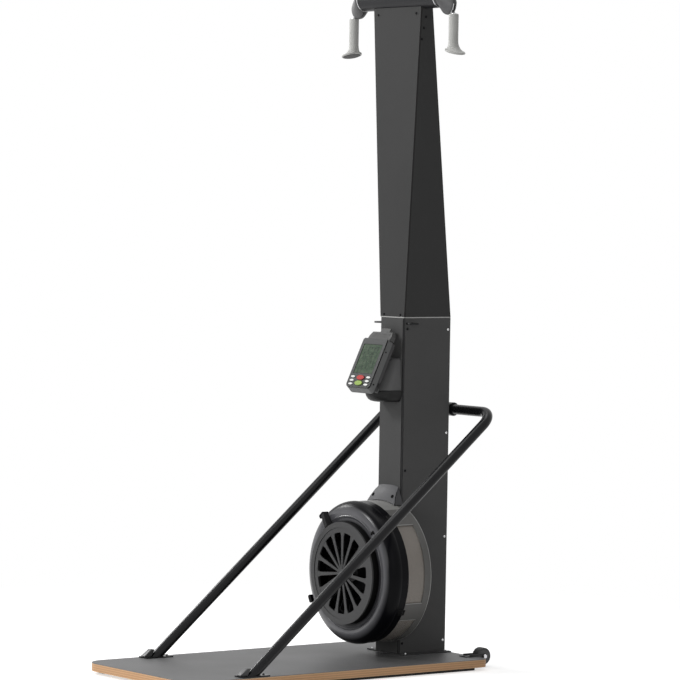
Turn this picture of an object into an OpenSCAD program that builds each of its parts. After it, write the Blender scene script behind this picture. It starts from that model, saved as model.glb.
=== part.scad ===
// Standing ski trainer: a deck, a tapered column, an air-brake fan, two hand cords and a display.
// Millimetres. +X is the user's right, -Y the side the user stands on, +Z up, floor at z = 0.

/* [Deck] */
// Width of the standing deck
deck_w = 600; // [520:5:760]
// Length of the standing deck
deck_l = 1184; // [1080:2:1400]
// Thickness of the plywood board
board_t = 24.8; // [18:0.2:32]
// Thickness of the top sheet on the board
mat_t = 1.2; // [0.8:0.1:3]
// Corner radius at the front of the deck
front_corner_r = 70; // [20:5:110]
// Corner radius at the rear of the deck
rear_corner_r = 30; // [10:2:60]
// Height of the rubber runners
foot_h = 11; // [8:0.5:20]
// Width of the rubber runners
foot_w = 40; // [25:1:60]
// Distance of the runners from the deck's edges
foot_inset = 41; // [36:1:70]

/* [Column] */
// Width of the lower column
col_w = 127; // [120:1:150]
// Depth of the lower column
col_d = 194; // [186:1:240]
// Distance of the column's back from the deck's rear edge
col_inset = 0; // [0:1:20]
// Height of the seam between the lower and upper column, above the deck
seam_h = 1104; // [1060:2:1180]
// Width of the upper column at the crossbar
top_w = 253; // [240:1:280]
// Depth of the upper column at the crossbar
top_d = 48; // [44:1:60]
// Thickness of the sheet-metal panels
sheet_t = 2; // [1:0.2:2.6]
// Width of the dark groove at the front corners
groove_w = 5.5; // [3:0.5:8]
// Height of the bright seam band
trim_h = 3; // [2:0.5:6]
// Side of the square posts inside the column
post_w = 22; // [16:1:24]
// Width of the column's foot plate
flange_w = 196; // [180:2:240]
// Thickness of the column's foot plate
flange_t = 4; // [3:0.5:8]

/* [Crossbar and pulley heads] */
// Height of the crossbar's axis above the deck
bar_h = 2150; // [2100:2:2240]
// Distance of the crossbar's axis behind the column's front face
bar_back = 24; // [22:0.5:28]
// Radius of the crossbar
bar_r = 38; // [34:0.5:42]
// Wall of the crossbar
bar_wall = 3; // [2:0.5:5]
// Half length of the crossbar
bar_half = 201; // [180:1:260]
// Width of the bright ring at each end of the crossbar
ring_w = 3.5; // [2:0.5:6]
// Radius of the cord's path round every pulley
pulley_r = 28; // [24:0.5:31]
// Distance of each head pulley's axis beyond the crossbar's end
head_reach = 38; // [36:1:60]
// Thickness of the head's casing along Y
head_t = 28; // [26:1:44]
// Radius of the head's casing
head_r = 34; // [33:0.5:38]
// Wall of the head's casing
head_wall = 2.2; // [1.5:0.1:2.5]

/* [Cords and handles] */
// Radius of the pull cords
cord_r = 2.5; // [1.5:0.1:3]
// Distance from the head pulley's axis down to the handle's top
cord_drop_l = 31; // [26:1:60]
// Length of the handle
grip_l = 133; // [110:1:160]
// Radius of the handle's grip
grip_r = 16; // [13:0.5:18]
// Radius of the handle's flared end
flare_r = 34; // [26:0.5:40]
// Slant of the handle's flared end
flare_tilt = 15; // [0:1:20]
// Distance that the flared end stands outwards from the grip's axis
flare_out = 10; // [0:0.5:14]
// Radius of the cord drums
drum_r = 20; // [18:0.5:24]

/* [Fan] */
// Height of the fan's axis above the deck
fan_h = 271; // [262:1:320]
// Radius of the fan's rear shell
fan_r = 232; // [215:1:240]
// Depth of the rear shell
rear_shell_d = 26; // [20:1:40]
// Width of the perforated band
mesh_d = 66; // [50:1:90]
// Radius of the front shell's rounded section
torus_r = 38; // [32:1:42]
// Outer radius of the front grille and damper ring
grille_r = 167; // [156:1:172]
// Inner radius of the grille's outer ring
grille_open_r = 133; // [120:1:140]
// Thickness of the grille
grille_t = 6; // [4:0.5:8]
// Depth of the damper ring
damper_d = 20; // [12:1:26]
// Number of spokes in the grille
spokes = 15; // [10:1:24]
// Width of a spoke at the hub
spoke_w = 7; // [4:0.5:9]
// Radius of the flywheel
wheel_vane_r = 205; // [180:1:212]
// Number of vanes on the flywheel
vanes = 18; // [8:1:24]
// Radius of the drive shaft
shaft_r = 10; // [8:0.5:12]
// Direction of the damper lever, from straight up towards the user's left
lever_a = 31; // [10:0.5:60]

/* [Display] */
// Width of the display's case
con_w = 128; // [124:1:140]
// Height of the display's case
con_h = 174; // [172:1:190]
// Depth of the display's front case
con_d = 25; // [20:1:32]
// Backward tilt of the display's face
con_tilt = 25.2; // [15:0.1:32]
// Height of the face's centre above the deck
con_z = 957; // [900:1:1000]
// Distance of the face's centre in front of the column
con_out = 102.5; // [98:0.5:130]
// Width of the screen
lcd_w = 100; // [80:1:104]
// Height of the screen
lcd_h = 104; // [80:1:108]
// Wall of the display's case
case_wall = 2.5; // [1.6:0.1:3]

/* [Side rails] */
// Radius of the rail tube
rail_r = 16.7; // [14:0.1:19]
// Distance of each rail from the middle
rail_x = 270; // [240:1:280]
// Height of the rail's level part above the deck
rail_h = 801; // [760:1:860]
// Distance of the rail's foot behind the deck's front edge
rail_foot = 254; // [200:1:320]
// Radius of the rail's bend
rail_bend = 60; // [45:1:90]
// Radius of the collars behind the column
collar_r = 22.5; // [21.5:0.1:26]

/* [Transport wheels] */
// Radius of a transport wheel
wheel_r = 28; // [22:0.5:31]
// Width of a transport wheel
wheel_w = 30; // [20:1:36]
// Distance of the wheel's axis behind the deck
wheel_back = 32; // [32:1:40]
// Distance of the wheel's middle from the deck's side
wheel_in = 83; // [60:1:140]
// Height of the wheel's axis below the deck's top
wheel_drop = 1; // [0:0.5:4]

/* [Hidden] */
$fn = 64;
run_gap = 0.05;
free_gap = 0.3;
eps = 0.01;
lap = 0.3;

deck_top = foot_h + board_t + mat_t;
total_l = deck_l + wheel_back + wheel_r;
deck_front_y = -total_l/2;
deck_rear_y = deck_front_y + deck_l;

col_rear_y = deck_rear_y - col_inset;
col_front_y = col_rear_y - col_d;
col_in_x = col_w/2 - sheet_t;
seam_z = deck_top + seam_h;
plate_t = 4;
upper_z0 = seam_z + trim_h;

bar_y = col_front_y + bar_back;
bar_z = deck_top + bar_h;
bar_bore = bar_r - bar_wall;
upper_z1 = bar_z - sqrt(pow(bar_r, 2) - pow(bar_back, 2));

pulley_w = 8;
flange_rise = 3;
groove_r = cord_r + free_gap;
pin_r = 4;
head_x = bar_half + head_reach;
pulley_z = bar_z - pulley_r;
cord_x = head_x + pulley_r;
idler_off = 6;
idler_plate_in = 13.5;
idler_plate_t = 3;
window_x0 = drum_r - 2*pulley_r - 14;
window_x1 = drum_r + 2*pulley_r + 14;
saddle_x0 = window_x1 + 2;
saddle_w = 24;

fan_z = deck_top + fan_h;
front_d0 = rear_shell_d + mesh_d;
torus_c_r = fan_r + 2 - torus_r;
torus_c_d = front_d0 + torus_r;
front_wall = 3;
crest_a = 118;
seat_d = torus_c_d + torus_r*sin(crest_a) + 1.5;
damper_d0 = seat_d + free_gap;
grille_d0 = damper_d0 + damper_d + free_gap;
grille_front = grille_d0 + grille_t;
fan_hub_r = 28;
vane_t = 2.5;
bearing_r = 21;
bearing_w = 12;
bearing_front_y = col_front_y + 29;
bearing_rear_y = col_rear_y - 29;
drum_w = 40;
drum_y = [bearing_front_y + 46, bearing_front_y + 94];
drum_cord_w = 20;
bungee_r = 3;
bungee_path_r = 18;

con_y = col_front_y - con_out;
con_zc = deck_top + con_z;
lcd_z0 = con_h/2 - 21 - lcd_h;
chin = 9.5;
hinge_back = con_d + 11.5;
hinge_up = -con_h/2 + 11;
hinge_r = 8;
key_w = 21;
key_h = 7;
key_x = 41;
key_rows = [-51.5, -64.5, -77.2];
oval_w = 43;
oval_h = 18;
red_z = -53.5;
green_z = -73;
key_rise = 2.4;
key_in = 8;

rail_foot_y = deck_front_y + rail_foot;
rail_y = col_rear_y + collar_r + 2;
rail_elev = atan2(rail_h, rail_y - rail_foot_y);
rail_run = sqrt(pow(rail_h, 2) + pow(rail_y - rail_foot_y, 2));
rail_end_x = 24;
foot_plate_t = 4;

wheel_x = deck_w/2 - wheel_in;
wheel_y = deck_rear_y + wheel_back;
bracket_l = 1.64*wheel_r;
wheel_z = deck_top - wheel_drop;
axle_r = 5;

screw_r = 4;
screw_h = 1.6;

// Helpers

// Lays a cylinder or ring along X or along Y
module along_x() rotate([0, 90, 0]) children();
module along_y() rotate([-90, 0, 0]) children();

// Draws the right-hand piece and its mirror image on the left
module both_sides() {
    children();
    mirror([1, 0, 0]) children();
}

module box(x0, x1, y0, y1, z0, z1)
    translate([x0, y0, z0]) cube([x1 - x0, y1 - y0, z1 - z0]);

// Points of an arc round c, from angle a0 to a1 in n steps
function arc(c, r, a0, a1, n) =
    [for (i = [0:n]) [c[0] + r*cos(a0 + (a1 - a0)*i/n), c[1] + r*sin(a0 + (a1 - a0)*i/n)]];

// Outline with four rounded corners, r0 at its low-y end and r1 at its high-y end
function rounded(x0, x1, y0, y1, r0, r1, n = 10) = concat(
    arc([x1 - r0, y0 + r0], r0, -90, 0, n),
    arc([x1 - r1, y1 - r1], r1, 0, 90, n),
    arc([x0 + r1, y1 - r1], r1, 90, 180, n),
    arc([x0 + r0, y0 + r0], r0, 180, 270, n));

function ellipse(w, h, grow = 0, n = 40) =
    [for (i = [0:n - 1]) [(w/2 + grow)*cos(360*i/n), (h/2 + grow)*sin(360*i/n)]];

// A block whose bottom and top are rectangles of different size: [half width, y0, y1, z]
module frustum(a, b) polyhedron(
    points = [[-a[0], a[1], a[3]], [a[0], a[1], a[3]], [a[0], a[2], a[3]], [-a[0], a[2], a[3]],
        [-b[0], b[1], b[3]], [b[0], b[1], b[3]], [b[0], b[2], b[3]], [-b[0], b[2], b[3]]],
    faces = [[0, 1, 2, 3], [4, 7, 6, 5], [0, 4, 5, 1], [1, 5, 6, 2], [2, 6, 7, 3], [3, 7, 4, 0]]);

// A ring or disc of the fan: spans depths d0 to d1 in front of the column
module fan_ring(r1, r0, d0, d1, fn = 128)
    translate([0, col_front_y - d1, fan_z]) along_y() difference() {
        cylinder(r = r1, h = d1 - d0, $fn = fn);
        if (r0 > 0) translate([0, 0, -1]) cylinder(r = r0, h = d1 - d0 + 2, $fn = fn);
    }

// Puts what is drawn in the x-z plane at a depth in front of the column, with the fan's axis as origin
module fan_place(d) translate([0, col_front_y - d, fan_z]) children();

// Moves pieces from the display's own frame: x across, z up the face, y into the case
module console_place() translate([0, con_y, con_zc]) rotate([-con_tilt, 0, 0]) children();

// Draws a flat outline of the display's face, from depth y0 to depth y1
module face_slab(points, y0, y1)
    translate([0, y1, 0]) rotate([90, 0, 0]) linear_extrude(y1 - y0) polygon(points);

// A grooved pulley along Y, round the origin
module pulley(width) along_y() rotate_extrude($fn = 96) difference() {
    translate([pin_r + run_gap, -width/2]) square([pulley_r + flange_rise - pin_r - run_gap, width]);
    translate([pulley_r, 0]) circle(r = groove_r, $fn = 32);
    translate([pulley_r, -groove_r]) square([flange_rise + 1, 2*groove_r]);
}

// Deck

module deck_outline() polygon(rounded(-deck_w/2, deck_w/2, deck_front_y, deck_rear_y,
    front_corner_r, rear_corner_r));

module deck_board() color("burlywood")
    translate([0, 0, foot_h]) linear_extrude(board_t) deck_outline();

module deck_mat() color("dimgray")
    translate([0, 0, foot_h + board_t]) linear_extrude(mat_t) deck_outline();

module deck_feet() color("black") both_sides() linear_extrude(foot_h)
    polygon(rounded(deck_w/2 - foot_inset/2 - foot_w, deck_w/2 - foot_inset/2,
        deck_front_y + foot_inset, deck_rear_y - foot_inset, 8, 8, 4));

// Column

module post(y0) both_sides() difference() {
    box(col_in_x - post_w, col_in_x, y0, y0 + post_w, deck_top + flange_t - eps, seam_z - plate_t + eps);
    box(col_in_x - post_w + sheet_t, col_in_x - sheet_t, y0 + sheet_t, y0 + post_w - sheet_t,
        deck_top + flange_t + 2, seam_z - plate_t - 2);
}

module bearing_plate(y) difference() {
    box(-col_in_x + post_w/2, col_in_x - post_w/2, y - 4, y + 4, fan_z - 42, fan_z + 42);
    translate([0, y - 5, fan_z]) along_y() cylinder(r = bearing_r + run_gap, h = 10);
}

module upright() hull() {
    box(col_in_x - 26, col_in_x - 8, bar_y - 2, bar_y + 18, seam_z - 2, seam_z + 1);
    box(saddle_x0 + 3, saddle_x0 + 21, bar_y - 10, bar_y + 10, bar_z - bar_r - 9, bar_z - bar_r - 6);
}

module column_frame() color("dimgray") {
    difference() {
        box(-flange_w/2, flange_w/2, col_front_y - 6, col_rear_y, deck_top, deck_top + flange_t);
        for (x = [-1, 1], y = [col_front_y + 10, col_rear_y - 12])
            translate([x*(flange_w/2 - 10), y, deck_top - 1]) cylinder(r = screw_r + 0.2, h = flange_t + 2);
    }
    post(col_front_y + sheet_t);
    post(col_rear_y - sheet_t - post_w);
    bearing_plate(bearing_front_y);
    bearing_plate(bearing_rear_y);
    both_sides() {
        box(col_in_x - post_w/2 - eps, col_in_x, col_front_y + sheet_t + post_w - 2, bearing_front_y + 4,
            fan_z - 42, fan_z + 42);
        box(col_in_x - post_w/2 - eps, col_in_x, bearing_rear_y - 4, col_rear_y - sheet_t - post_w + 2,
            fan_z - 42, fan_z + 42);
    }
    difference() {
        box(-col_in_x, col_in_x, col_front_y + sheet_t, col_rear_y - sheet_t, seam_z - plate_t, seam_z);
        box(drum_r - 9, drum_r + 9, bar_y + 4, bar_y + 72, seam_z - plate_t - 1, seam_z + 1);
    }
    both_sides() upright();
    both_sides() difference() {
        box(saddle_x0, saddle_x0 + saddle_w, bar_y - 18, bar_y + 18, bar_z - bar_r - 8 - eps, bar_z - bar_r + 6);
        translate([0, bar_y, bar_z]) along_x() cylinder(r = bar_r + run_gap, h = 2*bar_half);
    }
}

module lower_front_panel() color("gray") difference() {
    box(-col_w/2 + groove_w, col_w/2 - groove_w, col_front_y, col_front_y + sheet_t,
        deck_top + flange_t, seam_z);
    translate([0, col_front_y - 1, fan_z]) along_y() cylinder(r = 30, h = sheet_t + 2);
}

module lower_side() color("gray")
    box(col_in_x, col_w/2, col_front_y + groove_w + 1.5, col_rear_y, deck_top + flange_t, seam_z);

module lower_side_right() lower_side();
module lower_side_left() mirror([1, 0, 0]) lower_side();

module lower_rear_panel() color("gray")
    box(-col_in_x, col_in_x, col_rear_y - sheet_t, col_rear_y, deck_top + flange_t, seam_z);

// Half width and rear face of the upper column at height z
function upper_half(z) = col_w/2 + (top_w - col_w)/2*(z - upper_z0)/(upper_z1 - upper_z0);
function upper_rear(z) = col_rear_y + (col_front_y + top_d - col_rear_y)*(z - upper_z0)/(upper_z1 - upper_z0);

module upper_front_panel() color("gray") {
    top = upper_z1 - free_gap - 1.8;
    translate([0, col_front_y + sheet_t, 0]) rotate([90, 0, 0]) linear_extrude(sheet_t)
        polygon([[-col_w/2, upper_z0], [col_w/2, upper_z0], [upper_half(top), top], [-upper_half(top), top]]);
}

module upper_channel() color("gray") difference() {
    frustum([col_w/2, col_front_y + sheet_t, col_rear_y, upper_z0],
        [top_w/2, col_front_y + sheet_t, col_front_y + top_d, upper_z1]);
    frustum([upper_half(upper_z0 - 5) - sheet_t, col_front_y, upper_rear(upper_z0 - 5) - sheet_t, upper_z0 - 5],
        [upper_half(upper_z1 + 5) - sheet_t, col_front_y, upper_rear(upper_z1 + 5) - sheet_t, upper_z1 + 5]);
    translate([-bar_half, bar_y, bar_z]) along_x() cylinder(r = bar_r + free_gap, h = 2*bar_half);
}

module seam_trim() color("white") difference() {
    box(-col_w/2, col_w/2, col_front_y, col_rear_y, seam_z, upper_z0);
    box(-col_in_x + 2, col_in_x - 2, col_front_y + sheet_t + 2, col_rear_y - sheet_t - 2, seam_z - 1, upper_z0 + 1);
}

// Bent rod loops on both sides under the seam, where the handles are parked
module handle_hooks() color("black") {
    rod = 3;
    x0 = col_w/2;
    x1 = x0 + 32;
    y0 = col_front_y + 6 + groove_w;
    y1 = y0 + 22;
    z = seam_z - 18;
    both_sides() {
        difference() {
            cord_level([x0 - rod, y0 + rod*9/(x1 - x0)], [x1, y0 - 9], z, rod);
            box(0, x0 + run_gap, y0 - x1, y0 + x1, z - 2*rod, z + 2*rod);
        }
        cord_level([x0, y1], [x1, y1], z, rod);
        cord_level([x1, y0 - 9], [x1, y1], z, rod);
        for (y = [y0 - 9, y1]) translate([x1, y, z]) sphere(r = rod, $fn = 32);
    }
}

// Fasteners

module screw_front(x, y, z) translate([x, y, z]) rotate([90, 0, 0]) cylinder(r = screw_r, h = screw_h, $fn = 32);
module screw_side(x, y, z) translate([x, y, z]) along_x() cylinder(r = screw_r, h = screw_h, $fn = 32);
module screw_down(x, y, z) translate([x, y, z]) cylinder(r = screw_r + 2, h = 3, $fn = 32);

module dark_screws() color("black") {
    both_sides() {
        for (h = [36, seam_h*0.547, seam_h - 36])
            screw_side(col_w/2, col_front_y + 15, deck_top + h);
        screw_front(43.5, col_front_y, upper_z0 + 7);
        screw_front(top_w/2 - 25, col_front_y, upper_z1 - 24);
        for (i = [0:2])
            translate([upper_half(upper_z1 - 36 - 36*i), col_front_y + 22 - 6*i, upper_z1 - 36 - 36*i])
                rotate([0, 90 + atan2((top_w - col_w)/2, upper_z1 - upper_z0), 0])
                    translate([0, 0, run_gap]) cylinder(r = screw_r, h = screw_h, $fn = 32);
        screw_down(rail_x, rail_foot_y - 2*rail_r, deck_top + foot_plate_t);
        screw_down(rail_x, rail_foot_y + 2.8*rail_r, deck_top + foot_plate_t);
    }
}

module bright_fasteners() color("silver") {
    both_sides() {
        for (h = [0.034, 0.345, 0.656, 0.965]*seam_h)
            screw_side(col_w/2, col_rear_y - 10, deck_top + h);
        for (y = [col_front_y + 10, col_rear_y - 12])
            screw_down(flange_w/2 - 10, y, deck_top + flange_t);
    }
    fan_place(grille_front + 3) rotate([90, 0, 0]) cylinder(r = 6, h = 3, $fn = 32);
}

// Crossbar

module crossbar_tube() color("black") {
    difference() {
        translate([-bar_half, bar_y, bar_z]) along_x() difference() {
            cylinder(r = bar_r, h = 2*bar_half, $fn = 128);
            translate([0, 0, -1]) cylinder(r = bar_bore, h = 2*bar_half + 2, $fn = 128);
        }
        box(window_x0, window_x1, bar_y - idler_plate_in - 0.5, bar_y + idler_plate_in + 0.5,
            bar_z - bar_r - 1, bar_z - 10);
    }
    for (s = [-1, 1]) {
        y = bar_y + s*(idler_plate_in + idler_plate_t/2);
        box(window_x0, window_x1, y - idler_plate_t/2, y + idler_plate_t/2,
            pulley_z - pin_r - 6, pulley_z + pin_r + 6);
    }
    for (x = [drum_r - pulley_r, drum_r + pulley_r])
        translate([x, bar_y - idler_plate_in - idler_plate_t, pulley_z]) along_y()
            cylinder(r = pin_r, h = 2*(idler_plate_in + idler_plate_t));
}

module bar_rings() color("silver") both_sides()
    translate([bar_half, bar_y, bar_z]) along_x() difference() {
        cylinder(r = bar_r + 1, h = ring_w, $fn = 128);
        translate([0, 0, -1]) cylinder(r = bar_bore, h = ring_w + 2, $fn = 128);
    }

module idler_left() color("dimgray")
    translate([drum_r - pulley_r, bar_y - idler_off, pulley_z]) pulley(pulley_w);
module idler_right() color("dimgray")
    translate([drum_r + pulley_r, bar_y + idler_off, pulley_z]) pulley(pulley_w);

// Pulley heads, drawn on the right and mirrored for the left

head_x0 = bar_half + ring_w + free_gap;
neck_w = 8;
spigot_l = 22;
cheek_in = pulley_w/2 + 1;
cheek_t = 4;

module head_frame() color("black") {
    translate([head_x0 - spigot_l, bar_y, bar_z]) along_x() difference() {
        union() {
            cylinder(r = bar_bore - 0.08, h = spigot_l + eps, $fn = 128);
            translate([0, 0, spigot_l]) cylinder(r = bar_r - 1, h = neck_w, $fn = 128);
        }
        translate([0, 0, -1]) cylinder(r = 14, h = spigot_l + neck_w + 2);
        translate([bar_z - pulley_z, -pulley_w/2 - 1, spigot_l + head_x - head_x0]) along_y()
            cylinder(r = pulley_r + flange_rise + 1, h = pulley_w + 2, $fn = 96);
    }
    for (s = [-1, 1]) difference() {
        translate([0, bar_y + s*(cheek_in + cheek_t/2), 0]) union() {
            translate([head_x, -cheek_t/2, pulley_z]) along_y() cylinder(r = 16, h = cheek_t);
            box(head_x0 + neck_w - eps, head_x, -cheek_t/2, cheek_t/2, pulley_z - 3, pulley_z + 16);
        }
        translate([head_x0 - 1, bar_y, bar_z]) along_x() cylinder(r = 3, h = 1);
    }
    translate([head_x, bar_y - cheek_in - cheek_t, pulley_z]) along_y()
        cylinder(r = pin_r, h = 2*(cheek_in + cheek_t));
}

// Rounded disc of the head, round the pulley's axis, shrunk by g for the hollow
module head_disc(g) translate([head_x, bar_y, pulley_z]) along_y() rotate_extrude($fn = 48)
    polygon(concat([[0, -head_t/2 + g]], arc([head_r - 13, -head_t/2 + 13], 13 - g, -90, 0, 6),
        arc([head_r - 13, head_t/2 - 13], 13 - g, 0, 90, 6), [[0, head_t/2 - g]]));

module head_neck_disc(g) translate([head_x0 + neck_w + free_gap - (g > 0 ? 1 : 0), bar_y, bar_z])
    along_x() cylinder(r = bar_r - 1.5 - g, h = 4, $fn = 48);

module head_shell() color("silver") difference() {
    hull() {
        head_disc(0);
        head_neck_disc(0);
    }
    hull() {
        head_disc(head_wall);
        head_neck_disc(head_wall);
    }
    translate([head_x0 - 1, bar_y, bar_z]) along_x()
        cylinder(r = bar_r - 1 + free_gap, h = neck_w + free_gap + 1, $fn = 96);
    box(cord_x - 7, cord_x + 12, bar_y - 5, bar_y + 5, pulley_z - head_r - 1, pulley_z - 4);
}

module head_pulley() color("dimgray") translate([head_x, bar_y, pulley_z]) pulley(pulley_w);

module head_frame_right() head_frame();
module head_frame_left() mirror([1, 0, 0]) head_frame();
module head_shell_right() head_shell();
module head_shell_left() mirror([1, 0, 0]) head_shell();
module head_pulley_right() head_pulley();
module head_pulley_left() mirror([1, 0, 0]) head_pulley();

// Cords and handles

grip_top = pulley_z - cord_drop_l;

module cord_drop() color("black")
    translate([cord_x, bar_y, grip_top]) cylinder(r = cord_r, h = cord_drop_l, $fn = 24);

// Skin over a row of tilted circles, each [offset along x, height, radius, tilt]
module skin(rings, sides) polyhedron(
    points = [for (c = rings) for (i = [0:sides - 1])
        [c[0] + c[2]*cos(360*i/sides)*cos(c[3]), c[2]*sin(360*i/sides), c[1] - c[2]*cos(360*i/sides)*sin(c[3])]],
    faces = concat([[for (i = [0:sides - 1]) i]],
        [for (k = [0:len(rings) - 2]) for (i = [0:sides - 1])
            [k*sides + i, (k + 1)*sides + i, k*sides + (i + 1)%sides]],
        [for (k = [0:len(rings) - 2]) for (i = [0:sides - 1])
            [k*sides + (i + 1)%sides, (k + 1)*sides + i, (k + 1)*sides + (i + 1)%sides]],
        [[for (i = [sides - 1:-1:0]) (len(rings) - 1)*sides + i]]));

// Straight grip that runs out into a slanted, flared end
module grip() color("lightgray") translate([cord_x, bar_y, grip_top]) {
    waist = -grip_l*0.66;
    rim = -grip_l + 6 + (flare_r - 4)*sin(flare_tilt);
    skin(concat(
        [[0, 0, grip_r - 3, 0], [0, -1.2, grip_r - 1, 0], [0, -4, grip_r, 0], [0, waist, grip_r, 0]],
        [for (i = [1:5]) [flare_out*pow(i/5, 2), waist + (rim - waist)*sin(90*i/5),
            grip_r + (flare_r - 1 - grip_r)*(1 - cos(90*i/5)), flare_tilt*pow(i/5, 2)]],
        [[flare_out, rim - 2.5, flare_r, flare_tilt], [flare_out, rim - 5, flare_r - 1, flare_tilt],
            [flare_out, rim - 6, flare_r - 4, flare_tilt]]), 36);
}

module grip_right() grip();
module grip_left() mirror([1, 0, 0]) grip();
module cord_drop_right() cord_drop();
module cord_drop_left() mirror([1, 0, 0]) cord_drop();

// A straight round rod between two points that share z
module cord_level(a, b, z, r) {
    run = [b[0] - a[0], b[1] - a[1]];
    translate([a[0], a[1], z]) rotate([0, 0, atan2(run[1], run[0])]) along_x()
        cylinder(r = r, h = norm(run) + lap, $fn = 24);
}

// Round cord through a row of points, none of whose stretches runs along Y
module cord(p, r, sides = 10) {
    last = len(p) - 1;
    rings = [for (k = [0:last]) let (
            t = p[min(k + 1, last)] - p[max(k - 1, 0)],
            n1 = cross(t, [0, 1, 0])/norm(cross(t, [0, 1, 0])),
            n2 = cross(n1, t)/norm(cross(n1, t)))
        for (i = [0:sides - 1]) p[k] + r*cos(360*i/sides)*n1 + r*sin(360*i/sides)*n2];
    polyhedron(points = rings, faces = concat(
        [[for (i = [sides - 1:-1:0]) i]],
        [for (k = [0:last - 1]) for (i = [0:sides - 1])
            [k*sides + i, k*sides + (i + 1)%sides, (k + 1)*sides + i]],
        [for (k = [0:last - 1]) for (i = [0:sides - 1])
            [k*sides + (i + 1)%sides, (k + 1)*sides + (i + 1)%sides, (k + 1)*sides + i]],
        [[for (i = [0:sides - 1]) last*sides + i]]));
}

// Each cord leaves its pulley head straight, runs along the crossbar, over its idler and down to its drum
module inner_cords() color("black") for (s = [-1, 1]) {
    idler_x = drum_r + s*pulley_r;
    idler_y = bar_y + s*idler_off;
    drum_cord_y = drum_y[s < 0 ? 0 : 1] - drum_w/2 + 2 + drum_cord_w/2;
    cord(concat([[s*head_x, bar_y, bar_z], [s*(head_x - pulley_r), bar_y, bar_z],
        [idler_x + s*pulley_r, idler_y, bar_z]],
        [for (i = [0:9]) [idler_x + pulley_r*cos(90 + s*10*i), idler_y, pulley_z + pulley_r*sin(90 + s*10*i)]],
        [[drum_r, idler_y, pulley_z - pulley_r], [drum_r, drum_cord_y, fan_z]]), cord_r);
}

// Elastic cords that wind the drums back
module return_elastics() color("darkred") for (y = drum_y)
    translate([-bungee_path_r, y + drum_w/2 - 9, fan_z])
        cylinder(r = bungee_r, h = seam_z - plate_t - fan_z, $fn = 24);

// Drive

module drum(y) color("slategray") translate([0, y, fan_z]) along_y() rotate_extrude($fn = 96) difference() {
    translate([shaft_r + run_gap, -drum_w/2]) square([1.5*drum_r - shaft_r - run_gap, drum_w]);
    translate([drum_r - groove_r, -drum_w/2 + 2]) square([20, drum_cord_w]);
    translate([bungee_path_r - bungee_r - free_gap, drum_w/2 - 14]) square([20, 10]);
}

module drum_left() drum(drum_y[0]);
module drum_right() drum(drum_y[1]);

module drive_shaft() color("silver") {
    back_y = bearing_rear_y + 12;
    front_y = col_front_y - front_d0 - torus_r - 24;
    translate([0, front_y, fan_z]) along_y() cylinder(r = shaft_r, h = back_y - front_y);
    translate([0, front_y - 1, fan_z]) along_y() cylinder(r = shaft_r + 7, h = 7, $fn = 6);
}

module shaft_bearings() color("silver") for (y = [bearing_front_y, bearing_rear_y])
    translate([0, y - bearing_w/2, fan_z]) along_y() difference() {
        cylinder(r = bearing_r, h = bearing_w);
        translate([0, 0, -1]) cylinder(r = shaft_r + run_gap, h = bearing_w + 2);
    }

module flywheel() color("dimgray") {
    d0 = 32;
    d1 = front_d0 + torus_r + 10;
    fan_ring(fan_hub_r, shaft_r + run_gap, 12, front_d0 + torus_r + 16);
    fan_ring(wheel_vane_r, fan_hub_r - 1, d0, d0 + 5);
    fan_ring(wheel_vane_r, grille_open_r + 12, d1 - 3, d1);
    for (i = [0:vanes - 1]) fan_place(d1) rotate([0, 360/vanes*i, 0])
        box(grille_open_r - 24, wheel_vane_r - 3, 0, d1 - d0 - 5 + eps, -vane_t/2, vane_t/2);
}

// Fan casing

// Plate that bridges the perforated band, centred on angle a with half width w in degrees
module bridge(a, w, steps = 8) translate([0, col_front_y - rear_shell_d + 2, fan_z]) rotate([90, 0, 0])
    linear_extrude(mesh_d + 2 - free_gap) polygon(concat(
        arc([0, 0], fan_r - 2.4, a - w, a + w, steps),
        arc([0, 0], fan_r + 0.8, a + w, a - w, steps)));

module fan_rear_shell() color("dimgray") {
    fan_ring(fan_r, 30, free_gap, 3 + free_gap);
    fan_ring(fan_r, fan_r - 3, 3, rear_shell_d);
    bridge(90, 44.5, 40);
    for (a = [-29.5, 209.5]) bridge(a, 8);
}

module fan_mesh() color("tan")
    fan_ring(fan_r - 3.4, fan_r - 5, rear_shell_d - 8, front_d0 + 6);

module fan_front_shell() color("black") {
    outer = concat([[fan_r - 3, front_d0], [fan_r, front_d0], [fan_r, front_d0 + 12]],
        arc([torus_c_r, torus_c_d], torus_r, -18, crest_a, 18), [[grille_r + 2, seat_d]]);
    inner = concat([[grille_open_r + 6, seat_d], [grille_open_r + 6, seat_d - front_wall],
        [grille_r, seat_d - front_wall]],
        arc([torus_c_r, torus_c_d], torus_r - front_wall, crest_a, -18, 16));
    translate([0, col_front_y, fan_z]) rotate([90, 0, 0]) rotate_extrude($fn = 144)
        polygon(concat(outer, inner));
    for (a = [130, 207]) fan_place(torus_c_d) rotate([0, -a, 0]) rim_clip();
    fan_place(seat_d - 3) rotate([0, -43, 0]) rotate([90, 0, 0]) linear_extrude(9)
        polygon(rounded(grille_r + 14, grille_r + 32, -6, 6, 3, 3, 3));
}

// Clip on the shell's rim, along +X from the fan's axis
module rim_clip() translate([0, -14, 0]) rotate([90, 0, 0]) linear_extrude(22)
    polygon(rounded(fan_r - 8, fan_r + 5.5, -13, 13, 4, 4, 4));

module damper_ring() color("black") {
    fan_ring(grille_r, grille_r - 8, damper_d0, damper_d0 + damper_d);
    fan_place(damper_d0 + damper_d/2) rotate([0, -90 - lever_a, 0]) {
        box(grille_r - 3, grille_r + 44, -4, 4, -6, 6);
        translate([grille_r + 44, -damper_d/2, 0]) along_y() cylinder(r = 11, h = damper_d - 4);
    }
}

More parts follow.
